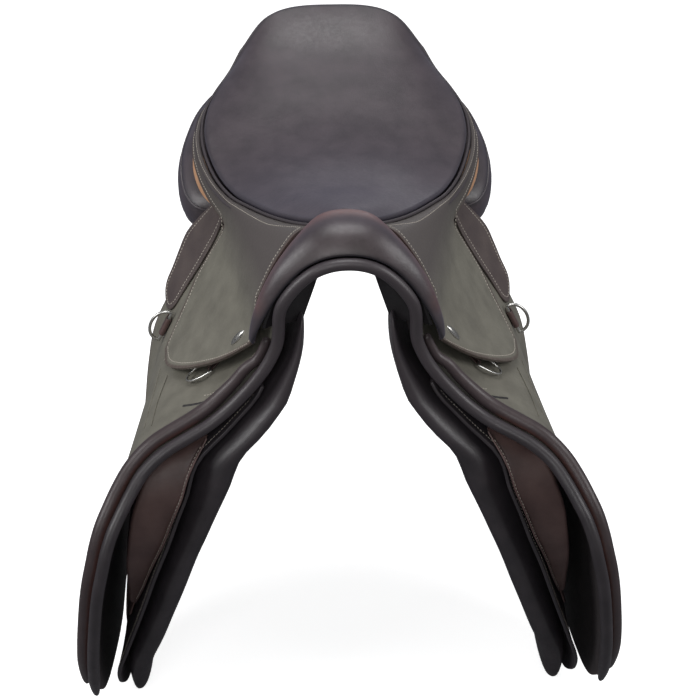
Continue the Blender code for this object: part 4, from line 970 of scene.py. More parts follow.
# Girth straps and the guard over their buckles.
# Three straps of reddish bridle leather with punched holes and pointed ends, sewn to the webbing
# under the flap, and a loose leather guard that slides on them.

BILLET_WIDTH = 0.025
BILLET_THICKNESS = 0.0035
BILLET_PITCH = 0.032
BILLET_FRONT_Y = -0.140
BILLET_TOP_Z = -0.168
BILLET_END_Z = -0.452
BILLET_STANDOFF = 0.0008
billet_out = BILLET_STANDOFF + BILLET_THICKNESS


def strap_mesh(y, side):
    """A strap with a pointed end and seven punched holes, through rows of points on the sweat flap."""
    bm = bmesh.new()
    half = BILLET_WIDTH / 2
    holes = [BILLET_END_Z + 0.040 + 0.024 * k for k in range(7)]
    marks = sorted({BILLET_END_Z + s for s in (0.0, 0.002, 0.005, 0.009, 0.014, 0.020, 0.028)}
                   | {h + s for h in holes for s in (-0.0028, 0.0028)}
                   | {BILLET_TOP_Z - 0.004 - 0.012 * k for k in range(5)} | {BILLET_TOP_Z})
    shares = (-1.0, -0.75, -0.224, 0.224, 0.75, 1.0)
    rows = []
    for z in marks:
        rise = z - BILLET_END_Z
        taper = min(1.0, (0.16 + 0.84 * math.sqrt(min(rise / 0.024, 1.0))))
        rows.append([bm.verts.new(on_surface(sweat_x, y + half * taper * s, z, -billet_out))
                     for s in shares])
    for low, high, z, z_next in zip(rows, rows[1:], marks, marks[1:]):
        for k in range(len(shares) - 1):
            corners = (low[k], low[k + 1], high[k + 1], high[k])
            hole = k == 2 and any(abs((z + z_next) / 2 - h) < 0.0005 for h in holes)
            if not hole:
                bm.faces.new(corners)
                continue
            centre = sum((vert.co for vert in corners), Vector()) / 4
            way_y, way_z = corners[1].co - corners[0].co, corners[3].co - corners[0].co
            ring = []
            for j in range(12):
                angle = 2 * math.pi * (j + 0.5) / 12
                ring.append(bm.verts.new(centre + way_y.normalized() * math.cos(angle) * 0.0022
                                         + way_z.normalized() * math.sin(angle) * 0.0022))
            spread_of = {0: (0, 1, 2), 1: (3, 4, 5), 2: (6, 7, 8), 3: (9, 10, 11)}
            order = (corners[2], corners[3], corners[0], corners[1])
            for q, corner in enumerate(order):
                a, b, c = (ring[i] for i in spread_of[q])
                nxt = ring[(3 * q + 3) % 12]
                bm.faces.new((corner, b, a))
                bm.faces.new((corner, c, b))
                bm.faces.new((corner, order[(q + 1) % 4], nxt, c))
    for vert in bm.verts:
        vert.co.x *= side
    bmesh.ops.recalc_face_normals(bm, faces=bm.faces)
    first = bm.faces[:][0]
    first.normal_update()
    if first.normal.x * side < 0:
        bmesh.ops.reverse_faces(bm, faces=bm.faces)
    return bm


for prefix, side in SIDES:
    for i, name in enumerate(("front_billet", "middle_billet", "rear_billet")):
        y = BILLET_FRONT_Y + BILLET_PITCH * i
        item = thicken(new_piece(prefix + name + "_strap", strap_mesh(y, side), RUSSET), BILLET_THICKNESS,
                       0.0006)
        settle(item, prefix + "billets", "russet_leather", prefix + name)
GUARD_LOW_Z = -0.275
GUARD_HEIGHT = 0.060
GUARD_LAY = 0.0015
GUARD_THICKNESS = 0.0025
GUARD_OVERHANG = 0.004


def guard_outline(u, v):
    first = BILLET_FRONT_Y - BILLET_WIDTH / 2 - GUARD_OVERHANG
    last = BILLET_FRONT_Y + 2 * BILLET_PITCH + BILLET_WIDTH / 2 + GUARD_OVERHANG
    round_end = 0.004 * (1 - math.sqrt(max(1 - (2 * u - 1) ** 8, 0.0)))
    return first + (last - first) * u, GUARD_LOW_Z + round_end + (GUARD_HEIGHT - 2 * round_end) * v


guard = laid(guard_outline, sweat_x, -billet_out - GUARD_LAY - GUARD_THICKNESS)
guard_points = grid_points(guard, 40, 20)
guard_hem = (row((0.04, 0.08), (0.96, 0.08)) + row((0.96, 0.08), (0.96, 0.92))
             + row((0.96, 0.92), (0.04, 0.92)))
for prefix, side in SIDES:
    leather(prefix + "buckle_guard_leather", guard_points, RUSSET, GUARD_THICKNESS,
            prefix + "buckle_guard", "russet_leather", (prefix + "buckle_guard",), side)
    settle(stitches(prefix + "buckle_guard_stitches", route_on(guard, guard_hem, side)),
           prefix + "buckle_guard", "russet_leather")


# Knee and thigh blocks.
# Foam blocks in reddish calf, each with a stitched flange along its inner edge and a pull tab at
# its lower end, by which they are set on the sweat flap.

BLOCK_LAY = 0.0025
THIGH_LAY = 0.0007
KNEE_FRONT = [(-0.228, -0.352), (-0.243, -0.300), (-0.252, -0.240), (-0.246, -0.195), (-0.228, -0.160),
              (-0.214, -0.145)]
KNEE_REAR = [(-0.216, -0.350), (-0.208, -0.300), (-0.200, -0.240), (-0.194, -0.195), (-0.194, -0.160),
             (-0.200, -0.145)]
knee_fill = profile([(-0.352, 0.22), (-0.340, 0.30), (-0.300, 0.52), (-0.250, 0.66), (-0.200, 0.76),
                     (-0.165, 0.80), (-0.145, 0.66)])
THIGH_FRONT = [(-0.052, -0.350), (-0.040, -0.300), (-0.030, -0.255)]
THIGH_REAR = [(-0.034, -0.345), (-0.016, -0.300), (-0.012, -0.260)]


def block_face(block, foot, fill, room):
    """The outer face of a block, which fills a share of the room under the flap."""
    under_flap = laid(block, outer_x, FLAP_THICKNESS + room)

    def read(u, v):
        return foot(u, v).lerp(under_flap(u, v), fill(block(u, v)[1]))
    return read


for name, front, rear, fill, room, below in (
        ("knee_block", KNEE_FRONT, KNEE_REAR, knee_fill, PAD_LAY, BLOCK_LAY),
        ("thigh_block", THIGH_FRONT, THIGH_REAR, lambda z: 1.0, LAY, THIGH_LAY)):
    block = patch([front[0], rear[0]], [front[-1], rear[-1]], front, rear)
    foot = laid(block, sweat_x, -below)
    top = block_face(block, foot, fill, room)
    face = grid_points(lambda u, v: top(crowded(u), crowded(v)), 20, 40)
    back = grid_points(lambda u, v: foot(crowded(u), crowded(v)), 20, 40)
    for prefix, side in SIDES:
        item = cushion(prefix + name + "_cover", face, back, RUSSET, side, 0.004)
        settle(item, "saddle", "russet_leather", prefix + name)
knee_line = smooth_curve(KNEE_FRONT)


def flange(u, v):
    """A narrow strip ahead of the knee block's front edge, narrowing towards its ends."""
    y, z = knee_line(0.01 + 0.97 * v)
    after = knee_line(min(0.02 + 0.97 * v, 1.0)) - knee_line(max(0.97 * v, 0.0))
    ahead = np.array((-after[1], after[0])) / math.hypot(*after)
    reach = 0.0005 + (1 - u) * 0.0075 * min(1.0, 0.25 + 4 * v, 0.25 + 5 * (1 - v))
    return on_surface(sweat_x, y + ahead[0] * reach, z + ahead[1] * reach, -BLOCK_LAY - 0.0022)


def pull_tab(u, v):
    """A tongue of leather below the block, rounded at its end."""
    reach = 0.006 * (1 - math.sqrt(max(1 - (2 * u - 1) ** 2, 0.0)))
    return on_surface(sweat_x, -0.229 + 0.013 * u, -0.372 + reach + (0.021 - reach) * v, -BLOCK_LAY - 0.003)


for prefix, side in SIDES:
    leather(prefix + "knee_block_flange", grid_points(flange, 6, 90), RUSSET, 0.0018, "saddle",
            "russet_leather", side=side, edge=0.0005)
    flange_hem = route_on(flange, row((0.4, 0.03), (0.4, 0.97), 90), side)
    settle(stitches(prefix + "knee_block_stitches", flange_hem), "saddle", "russet_leather")
    leather(prefix + "knee_block_tab", grid_points(pull_tab, 12, 12), RUSSET, 0.0018, "saddle",
            "russet_leather", side=side, edge=0.0005)


# Stirrup bars and their catches.
# Forged and polished steel riveted to the tree under the skirts; the frame's own solids stay,
# the bars with their edges broken.

def steel(name, code, roughness, brushed=0.0):
    """Stainless steel with fine scratches from use."""
    made, tree, shader = blank(name)
    place = add(tree, "ShaderNodeTexCoord").outputs["Object"]
    drawn = add(tree, "ShaderNodeMapping", {"Vector": place, "Scale": (900.0, 120.0, 900.0)}).outputs[0]
    lines = add(tree, "ShaderNodeTexNoise", {"Vector": drawn, "Scale": 1.0, "Detail": 3.0}).outputs[0]
    smears = add(tree, "ShaderNodeTexNoise", {"Vector": place, "Scale": 160.0, "Detail": 2.0}).outputs[0]
    tree.links.new(mixed(tree, smears, tone(code), tone("dddcd8")), shader.inputs["Base Color"])
    shader.inputs["Metallic"].default_value = 1.0
    tree.links.new(spread(tree, lines, 0.3, 0.7, roughness - 0.04, roughness + 0.08),
                   shader.inputs["Roughness"])
    bump = add(tree, "ShaderNodeBump", {"Height": lines, "Strength": 0.15, "Distance": 0.00004})
    tree.links.new(bump.outputs[0], shader.inputs["Normal"])
    return made


STEEL = steel("stainless steel, polished", "c6c5c2", 0.27)
for prefix, side in SIDES:
    for name in ("stirrup_bar", "bar_catch"):
        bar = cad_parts[prefix + name]
        bar.data.materials.clear()
        bar.data.materials.append(STEEL)
        if name == "stirrup_bar":
            broken = bar.modifiers.new("edge", "BEVEL")
            broken.width = 0.0006
            broken.segments = 2


# Flaps.
# One leather from under the skirt to the rider's calf on each side. The upper part is held by the
# tree, the rest lifts, so the leather bends on a line just below the skirt. Edges are dyed and
# creased; a stitched line follows the front and another the top under the skirt.

# Both carry a painted sheen at grazing angles. The olive calf turns darker and browner towards the top.
OLIVE = calf("olive brown calf", "67645a", "78756a", "4a3935", 0.5, 0.0012, "97958f", 0.22,
             ("4a4343", -0.030, 0.024))
FLESH = calf("dark brown calf, inner side", "272224", "332c2d", "3a3030", 0.7, 0.0014, "6f6a70", 0.1)
HINGE_Z = -0.160
ROLL_RADIUS = 0.0075
PIPE_RADIUS = 0.0065
UPPER_FRONT = [(-0.245, HINGE_Z + 0.0005), (-0.215, -0.105), (-0.207, -0.045), (-0.205, -0.004)]
UPPER_REAR = [(0.050, HINGE_Z + 0.0005), (0.054, -0.080), (0.050, -0.022)]
FLAP_TOP = [(-0.246, HINGE_Z - 0.0005), (0.050, HINGE_Z - 0.0005)]
FLAP_FRONT = [(-0.262, -0.445), (-0.285, -0.400), (-0.305, -0.320), (-0.303, -0.250),
              (-0.283, -0.200), FLAP_TOP[0]]
FLAP_LOW = [(-0.262, -0.445), (-0.225, -0.474), (-0.160, -0.484), (-0.100, -0.475), (-0.070, -0.455)]
FLAP_REAR = [(-0.070, -0.455), (-0.035, -0.390), (0.000, -0.300), (0.030, -0.220), FLAP_TOP[1]]


def upper_depth(y, z):
    """The flap's top lies deeper under the skirt, where it makes room for the stirrup bar."""
    return BAR_POCKET * ease(z, -0.150, -0.104) * (1 - ease(y, -0.036, -0.008))


flap_plan = patch(FLAP_LOW, FLAP_TOP, FLAP_FRONT, FLAP_REAR)


def flap_outline(u, v):
    """The flap below its bending line, with its lower rear corner rounded."""
    if u > 0.5 and v < 0.5:
        u, v = corner_cut(u, v, 0.22, 0.30, 0.034)
    return flap_plan(u, v)


flap_low = laid(flap_outline, outer_x, 0.0)
flap_high = laid(patch([UPPER_FRONT[0], UPPER_REAR[0]], [UPPER_FRONT[-1], UPPER_REAR[-1]],
                       UPPER_FRONT, UPPER_REAR), outer_x, upper_depth)


def smoothed(points, rows, passes):
    """Even out some rows of a grid of points against the rows beside them."""
    points = points.copy()
    for _ in range(passes):
        for r in rows:
            points[r, 1:-1] = (points[r, 1:-1] * 2 + points[r - 1, 1:-1] + points[r + 1, 1:-1]) / 4
    return points


low_points = grid_points(lambda u, v: flap_low(edged(u), 1 - math.cos(math.pi / 2 * v)), 72, 70)
high_points = grid_points(lambda u, v: flap_high(edged(u), v), 72, 30)
flap_points = np.concatenate([low_points, high_points[1:]], axis=0)
flap_points = smoothed(flap_points, range(67, 75), 6)


def bend(item, prefix, finish, *nodes):
    """A leather that is held by the tree above the flap's bending line: bake its placement into its mesh and
    hide the frame solids that it stands for.
    """
    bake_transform(item)
    if nodes:
        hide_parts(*nodes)
    return item


def border_tree(points, side):
    line = list(points[0]) + list(points[-1]) + list(points[:, 0]) + list(points[:, -1])
    dense = [Vector((side * p[0], p[1], p[2])) for p in line]
    return tree_of(dense)


for prefix, side in SIDES:
    bm = bmesh.new()
    grid_mesh(bm, flap_points, side)
    item = thicken(new_piece(prefix + "flap_leather", bm, OLIVE), FLAP_THICKNESS, 0.0013)
    item.data.materials.append(FLESH)
    item.modifiers["thickness"].material_offset = 1
    near = border_tree(flap_points, side)
    mark(item, "wear", lambda co: 0.9 * (1 - ease(near.find(co)[2], 0.0015, 0.006)))
    bend(item, prefix, "olive_calf", prefix + "flap", prefix + "flap_upper")


def side_route(knots, depth, side, count=60):
    """Points and outward normals along a smooth line given in the side view."""
    line = smooth_curve(knots)
    route = []
    for i in range(count + 1):
        y, z = line(i / count)
        here = on_surface(outer_x, y, z, depth(y, z))
        out = (here - on_surface(outer_x, y, z, depth(y, z) + 0.002)).normalized()
        route.append((Vector((side * here.x, here.y, here.z)), Vector((side * out.x, out.y, out.z))))
    return route


UPPER_SEAM = [(-0.1830, -0.0560), (-0.1800, -0.0697), (-0.1785, -0.0843), (-0.1800, -0.0987),
              (-0.1780, -0.1050), (-0.1700, -0.1140)]
BEHIND_SEAM = [(-0.058, -0.146), (-0.040, -0.137), (-0.013, -0.107), (0.011, -0.075), (0.021, -0.045)]
SLOT = [(-0.1860, -0.1080), (-0.1800, -0.1190), (-0.1730, -0.1280)]
CREASES = ([(-0.0645, -0.1524), (-0.110, -0.163), (-0.1588, -0.1688)],
           [(-0.0957, -0.1413), (-0.135, -0.152), (-0.1715, -0.1568)])
for prefix, side in SIDES:
    for name, knots in (("front", UPPER_SEAM), ("rear", BEHIND_SEAM)):
        settle(stitches(prefix + "flap_stitches_" + name, side_route(knots, upper_depth, side)),
               "saddle", "olive_calf")
    # Painted shade: a black lining tube sunk along the slot stands in for the shadow inside it.
    slot_shade_path = [point - out * 0.0012 for point, out in side_route(SLOT, upper_depth, side, 20)]
    settle(pipe(prefix + "flap_slot_shade", slot_shade_path, 0.0021, LINING), "saddle", "lining_leather")
    bm = bmesh.new()
    for knots in CREASES:
        pipe_mesh(bm, [point - out * 0.0004 for point, out in side_route(knots, upper_depth, side, 40)],
                  0.0007, 8)
    bend(new_piece(prefix + "flap_creases", bm, OLIVE, 60), prefix, "olive_calf")


# Rolls and welts down the flaps' fronts.
# A padded roll sewn on the flap's face along its front, and a thick piping outside its edge that
# runs on over the arch as the front welt.

def beside_edge(outline_edge, depth, ahead, out):
    """Points beside a front edge: moved forwards in the leather's plane and outwards from it."""
    line = smooth_curve(outline_edge)

    def read(t):
        y, z = line(t)
        here = depth(y, z) if callable(depth) else depth
        point = on_surface(outer_x, y, z, here)
        before, after = line(max(t - 0.02, 0)), line(min(t + 0.02, 1))
        way = on_surface(outer_x, *after, here) - on_surface(outer_x, *before, here)
        normal = (point - on_surface(outer_x, y, z, here + 0.002)).normalized()
        forward = normal.cross(way).normalized()
        if forward.y > 0:
            forward.negate()
        return point + forward * ahead + normal * out
    return read


roll_out = ROLL_RADIUS + 2 * LAY
roll_knots = (sampled(beside_edge(FLAP_FRONT, 0.0, -0.006, roll_out), 0.03, 0.985, 16)
              + sampled(beside_edge(UPPER_FRONT, upper_depth, -0.006, roll_out), 0.03, 0.62, 8)
              + sampled(beside_edge(UPPER_FRONT, upper_depth, -0.006, roll_out - 0.004), 0.68, 0.80, 3))
roll_path = sampled(smooth_curve(roll_knots), 0.0, 1.0, 120)
roll_sizes = [ROLL_RADIUS * min(0.35 + 0.65 * min(1.0, i / 14) ** 0.6,
                                0.62 + 0.38 * min(1.0, (119 - i) / 22))
              for i in range(120)]
pipe_low = sampled(beside_edge(FLAP_FRONT, FLAP_THICKNESS / 2, PIPE_RADIUS + LAY, 0.0), 0.02, 0.985, 16)
pipe_high = sampled(beside_edge(UPPER_FRONT, lambda y, z: upper_depth(y, z) + FLAP_THICKNESS / 2,
                                PIPE_RADIUS + LAY, 0.0), 0.03, 0.80, 9)
arch_knots = []
for share in (0.80, 0.70, 0.62, 0.56):
    point, after = Vector(roll_low(share)), Vector(roll_low(share + 0.02))
    way = after - point
    inward = Vector((-abs(way.z), 0, -abs(way.x))).normalized()
    arch_knots.append(point + inward * (PIPE_RADIUS + 3 * LAY))
crown = Vector(roll_low(0.5)) - Vector((0, 0, PIPE_RADIUS + 3 * LAY))
half_route = pipe_low + pipe_high + arch_knots
welt_route = smooth_curve([tuple(p) for p in half_route] + [tuple(crown)]
                          + [(-p.x, p.y, p.z) for p in half_route[::-1]])
welt_points = sampled(welt_route, 0.0, 1.0, 401)
split = next(i for i, p in enumerate(welt_points) if p.z > HINGE_Z + 0.030)
side_sizes = [PIPE_RADIUS * (0.4 + 0.6 * min(1.0, i / 12) ** 0.6) for i in range(split + 1)]
item = pipe("front_welt_piping", welt_points[split:401 - split], PIPE_RADIUS, DARK, 18)
settle(item, "saddle", "brown_calf", "front_welt")
for prefix, side in SIDES:
    down = [Vector((side * p.x, p.y, p.z)) for p in welt_points[:split + 1]]
    line = [Vector((side * p.x, p.y, p.z)) for p in roll_path]
    item = pipe(prefix + "flap_welt_piping", down, side_sizes, DARK, 18)
    groove = tree_of(line)
    mark(item, "wear", lambda co: 0.8 * (1 - ease(groove.find(co)[2], 0.0085, 0.0125)))
    bend(item, prefix, "brown_calf", prefix + "flap_welt")
    item = pipe(prefix + "flap_roll_calf", line, roll_sizes, DARK, 20)
    groove = tree_of(down)
    mark(item, "wear", lambda co: 0.15 + 0.75 * (1 - ease(groove.find(co)[2], 0.0085, 0.0125)))
    bend(item, prefix, "brown_calf", prefix + "flap_roll", prefix + "upper_roll")


# Rear strips.
# A strip of reddish leather that ties the flap's rear edge to the panel, stitched along both edges
# and rounded at its lower end.

STRIP_THICKNESS = 0.0025
# With a painted sheen at grazing angles.
STRAP_BROWN = calf("brown strap leather", "453b39", "524844", "6a4d40", 0.48, 0.0010, "8a7f86", 0.2)
strip_depth = -STRIP_THICKNESS - LAY
STRIP_FRONT = [on_surface(outer_x, y, z, upper_depth(y, z) + strip_depth)
               for y, z in ((0.014, -0.128), (0.018, -0.094), (0.021, -0.060), (0.026, -0.028),
                            (0.030, 0.000))]
STRIP_REAR = [on_surface(outer_x, 0.043, -0.128, strip_depth), Vector((0.199, 0.053, -0.105)),
              Vector((0.191, 0.060, -0.088)), Vector((0.184, 0.066, -0.072)), Vector((0.174, 0.072, -0.051)),
              Vector((0.158, 0.070, -0.030)), Vector((0.136, 0.066, -0.006))]
strip = patch([STRIP_FRONT[0], STRIP_REAR[0]], [STRIP_FRONT[-1], STRIP_REAR[-1]], STRIP_FRONT, STRIP_REAR)


def strip_end(u, v):
    """The strip with its lower end rounded."""
    reach = 0.10 * (1 - math.sqrt(max(1 - (2 * u - 1) ** 2, 0.0)))
    return strip(u, reach + (1 - reach) * v)


strip_points = grid_points(strip_end, 16, 40)
strip_hem = (row((0.12, 0.99), (0.12, 0.10))
             + [(0.5 - 0.38 * math.cos(math.pi * i / 12),
                 0.04 + 0.06 * (1 - math.sin(math.pi * i / 12))) for i in range(1, 12)]
             + row((0.88, 0.10), (0.88, 0.99)))
for prefix, side in SIDES:
    leather(prefix + "rear_strip_leather", strip_points, STRAP_BROWN, STRIP_THICKNESS, "saddle",
            "russet_leather", (prefix + "rear_strip",), side)
    settle(stitches(prefix + "rear_strip_stitches", route_on(strip_end, strip_hem, side)), "saddle",
           "russet_leather")


# Jockeys and skirts.
# One leather from the seat's welt down over the stirrup bar on each side, with a band along the
# cheek of the seat. Its lower part lifts on a line level with the bar. Edges are thick, rounded and
# dyed dark; a stitched line follows them.

SKIRT_THICKNESS = 0.004
SKIRT_LAY = 0.0010
GAP = 0.0003
SKIRT_LINE = [(-0.188, 0.005), (0.006, -0.013)]
SKIRT_TIP = (-0.197, -0.045)
SKIRT_CORNER = (-0.050, -0.137)
SKIRT_FRONT = [SKIRT_TIP, (-0.193, -0.020), SKIRT_LINE[0]]
SKIRT_LOW = [SKIRT_TIP, (-0.158, -0.092), (-0.122, -0.120), (-0.087, -0.136), SKIRT_CORNER]
SKIRT_REAR = [SKIRT_CORNER, (-0.022, -0.107), (0.002, -0.075), (0.012, -0.045), SKIRT_LINE[1]]
BAND_EDGE = [(0.032, 0.012, 0.032), (0.060, 0.014, 0.026), (0.095, 0.014, 0.022),
             (0.125, 0.013, 0.020), (0.148, 0.011, 0.018), (0.164, 0.007, 0.015)]


def rim_at(y):
    low, high = 0.0, 1.0
    for _ in range(30):
        middle = (low + high) / 2
        if rim_read(middle)[1] < y:
            low = middle
        else:
            high = middle
    return Vector(rim_read(low))


def bar_bulge(y, z):
    """How far the stirrup bar under the leather pushes it out."""
    return 0.0024 * math.exp(-((y + 0.100) / 0.045) ** 2 - ((z + 0.052) / 0.020) ** 2)


skirt_lift = SKIRT_THICKNESS + SKIRT_LAY
hinge_line = []
for i in range(6):
    share = i / 5
    y = SKIRT_LINE[0][0] + (SKIRT_LINE[1][0] - SKIRT_LINE[0][0]) * share
    z = SKIRT_LINE[0][1] + (SKIRT_LINE[1][1] - SKIRT_LINE[0][1]) * share + 2 * LAY
    hinge_line.append(on_surface(outer_x, y, z, -skirt_lift))
band = [rim_at(y) + Vector((out, 0, -down)) for y, out, down in BAND_EDGE]
welt_room = Vector((COVER_THICKNESS + WELT_RADIUS + LAY + GAP, 0,
                    -COVER_THICKNESS - 2 * WELT_RADIUS - LAY - GAP))
jockey_rim = [rim_at(y) + welt_room
              for y in (-0.146, -0.115, -0.080, -0.040, 0.0, 0.040, 0.080, 0.120, 0.145, 0.162)]
jockey_front = ([hinge_line[0]] + [Vector(point) + Vector((0.004, 0.0035, 0)) for point in ROLL_TOP[3:1:-1]]
                + [jockey_rim[0]])
jockey = patch(hinge_line + band, jockey_rim, jockey_front, [band[-1], jockey_rim[-1]])
skirt_plan = patch(SKIRT_LOW, SKIRT_LINE, SKIRT_FRONT, SKIRT_REAR)


def skirt(u, v):
    y, z = skirt_plan(u, v)
    return on_surface(outer_x, y, z, -skirt_lift - bar_bulge(y, z))


chords = [(b - a).length for a, b in zip(hinge_line + band, (hinge_line + band)[1:])]
hinge_share = sum(chords[:5]) / sum(chords)
SKIRT_COLUMNS, BAND_COLUMNS, SKIRT_ROWS, JOCKEY_ROWS = 64, 40, 48, 22
lower = np.array([[skirt(edged(c / SKIRT_COLUMNS), 1 - math.cos(math.pi / 2 * r / SKIRT_ROWS))
                   for c in range(SKIRT_COLUMNS + 1)] for r in range(SKIRT_ROWS)], float)
columns = ([hinge_share * edged(c / SKIRT_COLUMNS) for c in range(SKIRT_COLUMNS + 1)]
           + [hinge_share + (1 - hinge_share) * c / BAND_COLUMNS for c in range(1, BAND_COLUMNS + 1)])
upper = np.array([[jockey(u, edged(r / JOCKEY_ROWS)) for u in columns]
                  for r in range(JOCKEY_ROWS + 1)], float)
joined = np.concatenate([lower, upper[:, :SKIRT_COLUMNS + 1]], axis=0)
joined = smoothed(joined, range(SKIRT_ROWS - 4, SKIRT_ROWS + 6), 10)
lower, upper[:, :SKIRT_COLUMNS] = joined[:SKIRT_ROWS], joined[SKIRT_ROWS:, :SKIRT_COLUMNS]
hinge_front, hinge_rear = Vector(hinge_line[0]), Vector(hinge_line[-1])
hinge_way = (hinge_rear - hinge_front).normalized()
hinge_up = Vector((-0.35, 0, 0.94))
hinge_up = (hinge_up - hinge_way * hinge_up.dot(hinge_way)).normalized()


def lift(item, prefix, side, finish, *nodes):
    """A leather that is fixed above the skirt's hinge line: bake its placement into its mesh and hide the
    frame solids that it stands for.
    """
    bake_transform(item)
    if nodes:
        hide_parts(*nodes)
    return item


def skirt_mesh(side):
    bm = bmesh.new()
    top = grid_mesh(bm, upper, side)
    low = [[bm.verts.new(point) for point in line] for line in mirrored(lower, side)]
    for first, second in zip(low, low[1:] + [top[0][:SKIRT_COLUMNS + 1]]):
        for a, b, c, d in zip(first, first[1:], second[1:], second):
            bm.faces.new((a, b, c, d) if side > 0 else (d, c, b, a))
    return bm


border = (list(lower[0]) + list(lower[:, -1]) + list(lower[:, 0]) + list(upper[0, SKIRT_COLUMNS:])
          + list(upper[:, -1]) + list(upper[:, 0]))
for prefix, side in SIDES:
    item = thicken(new_piece(prefix + "skirt_leather", skirt_mesh(side), OLIVE), 0.0034, 0.0012)
    near = tree_of([Vector((side * p[0], p[1], p[2])) for p in border])
    mark(item, "wear", lambda co: 0.95 * (1 - ease(near.find(co)[2], 0.0020, 0.0055)))
    lift(item, prefix, side, "olive_calf", prefix + "skirt", prefix + "jockey")


front_seam = ([(skirt, 0.030, v / 60) for v in range(3, 61)]
              + [(jockey, 0.030 * hinge_share + 0.004 * v / 40, v / 40) for v in range(0, 38)])
point_end = front_seam[-1][1:]
thin_seam = [(jockey, point_end[0] + (0.97 - point_end[0]) * i / 160,
              point_end[1] - 0.17 * ease(i, 0, 30) - 0.20 * ease(i, 60, 150)) for i in range(161)]
outer_seam = ([(jockey, 0.975 - (0.975 - hinge_share - 0.02) * i / 100, 0.20) for i in range(101)]
              + [(skirt, 0.972, 0.96 - 0.92 * i / 70) for i in range(71)])
low_seam = [(skirt, 0.035 + 0.93 * i / 90, 0.045) for i in range(91)]


def seam_route(places, side):
    """Points and normals along places that may run over several surfaces."""
    return [pair for surface, u, v in places for pair in route_on(surface, [(u, v)], side)]


for prefix, side in SIDES:
    for name, places in (("front", front_seam), ("rear", outer_seam), ("lower", low_seam)):
        item = stitches(prefix + "skirt_stitches_" + name, seam_route(places, side))
        lift(item, prefix, side, "olive_calf")
    item = stitches(prefix + "skirt_stitches_seat", seam_route(thin_seam, side), 0.0032, 0.0024, 0.00035)
    lift(item, prefix, side, "olive_calf")


# Rail edges.
# Undyed leather that shows as a pale sliver under the band, where the seat's rail is covered.

def natural():
    """Undyed vegetable tanned leather, a little darkened by handling."""
    made, tree, shader = blank("undyed leather")
    place = add(tree, "ShaderNodeTexCoord").outputs["Object"]
    clouds = add(tree, "ShaderNodeTexNoise", {"Vector": place, "Scale": 120.0, "Detail": 4.0}).outputs[0]
    tree.links.new(mixed(tree, clouds, tone("b98a68"), tone("d9ad8a")), shader.inputs["Base Color"])
    tree.links.new(spread(tree, clouds, 0.3, 0.7, 0.5, 0.65), shader.inputs["Roughness"])
    bump = add(tree, "ShaderNodeBump", {"Height": clouds, "Strength": 0.4, "Distance": 0.0002})
    tree.links.new(bump.outputs[0], shader.inputs["Normal"])
    return made


NATURAL = natural()


def rail(u, v):
    along = 0.58 + (0.86 - 0.58) * u
    edge, above = Vector(jockey(along, 0.0)), Vector(jockey(along, 0.6))
    down = (edge - above).normalized()
    ahead = Vector(jockey(along + 0.01, 0.0)) - edge
    out = ahead.cross(above - edge).normalized()
    reach = 0.015 * math.sin(math.pi * (0.04 + 0.92 * u))
    return above + (edge + down * reach - above) * (1 - v) - out * (0.0034 + LAY)


rail_points = grid_points(rail, 40, 8)
for prefix, side in SIDES:
    leather(prefix + "rail_edge_leather", rail_points, NATURAL, COVER_THICKNESS, "saddle",
            "natural_leather", (prefix + "rail_edge",), side)


# Rings, their leather loops and the studs.
# Steel wire rings for a breastplate and a saddlecloth, each held in a folded loop of leather that
# is sewn to the flap, and a polished oval stud on each skirt.

DEE_WIRE = 0.0019
DEE_LENGTH = 0.038
DEE_REACH = 0.017
FRONT_DEE_WIRE = 0.0013
FRONT_DEE_Y = -0.135
FRONT_DEE_Z = -0.100
FRONT_DEE_WIDTH = 0.024
FRONT_DEE_DROP = 0.030
FRONT_DEE_TIP = 0.0015
FRONT_DEE_LIFT = 0.0042
CHAPE_THICKNESS = 0.0012
STUD_LENGTH = 0.0245
STUD_WIDTH = 0.0088
STUD_HEIGHT = 0.0030


def axes(origin, first, second):
    """A frame with two directions in the outline's plane and the third across it."""
    first = first.normalized()
    third = first.cross(second).normalized()
    second = third.cross(first)
    return Matrix.Translation(origin) @ Matrix((
        (first.x, second.x, third.x), (first.y, second.y, third.y),
        (first.z, second.z, third.z))).to_4x4()


def directions(y, z, depth):
    """On the left side: the point, and the ways to the rear, up the leather and outwards."""
    here = on_surface(outer_x, y, z, depth)
    rear = (on_surface(outer_x, y + 0.01, z, depth) - on_surface(outer_x, y - 0.01, z, depth)).normalized()
    up = on_surface(outer_x, y, z + 0.01, depth) - on_surface(outer_x, y, z - 0.01, depth)
    out = rear.cross(up).normalized()
    return here, rear, out.cross(rear).normalized(), out


def ring_path(half, reach, steps=40):
    bow = [(half * math.cos(math.pi * i / steps), reach * math.sin(math.pi * i / steps) ** 0.8)
           for i in range(steps + 1)]
    return bow + [(-half + 2 * half * i / 10, 0.0) for i in range(1, 10)]


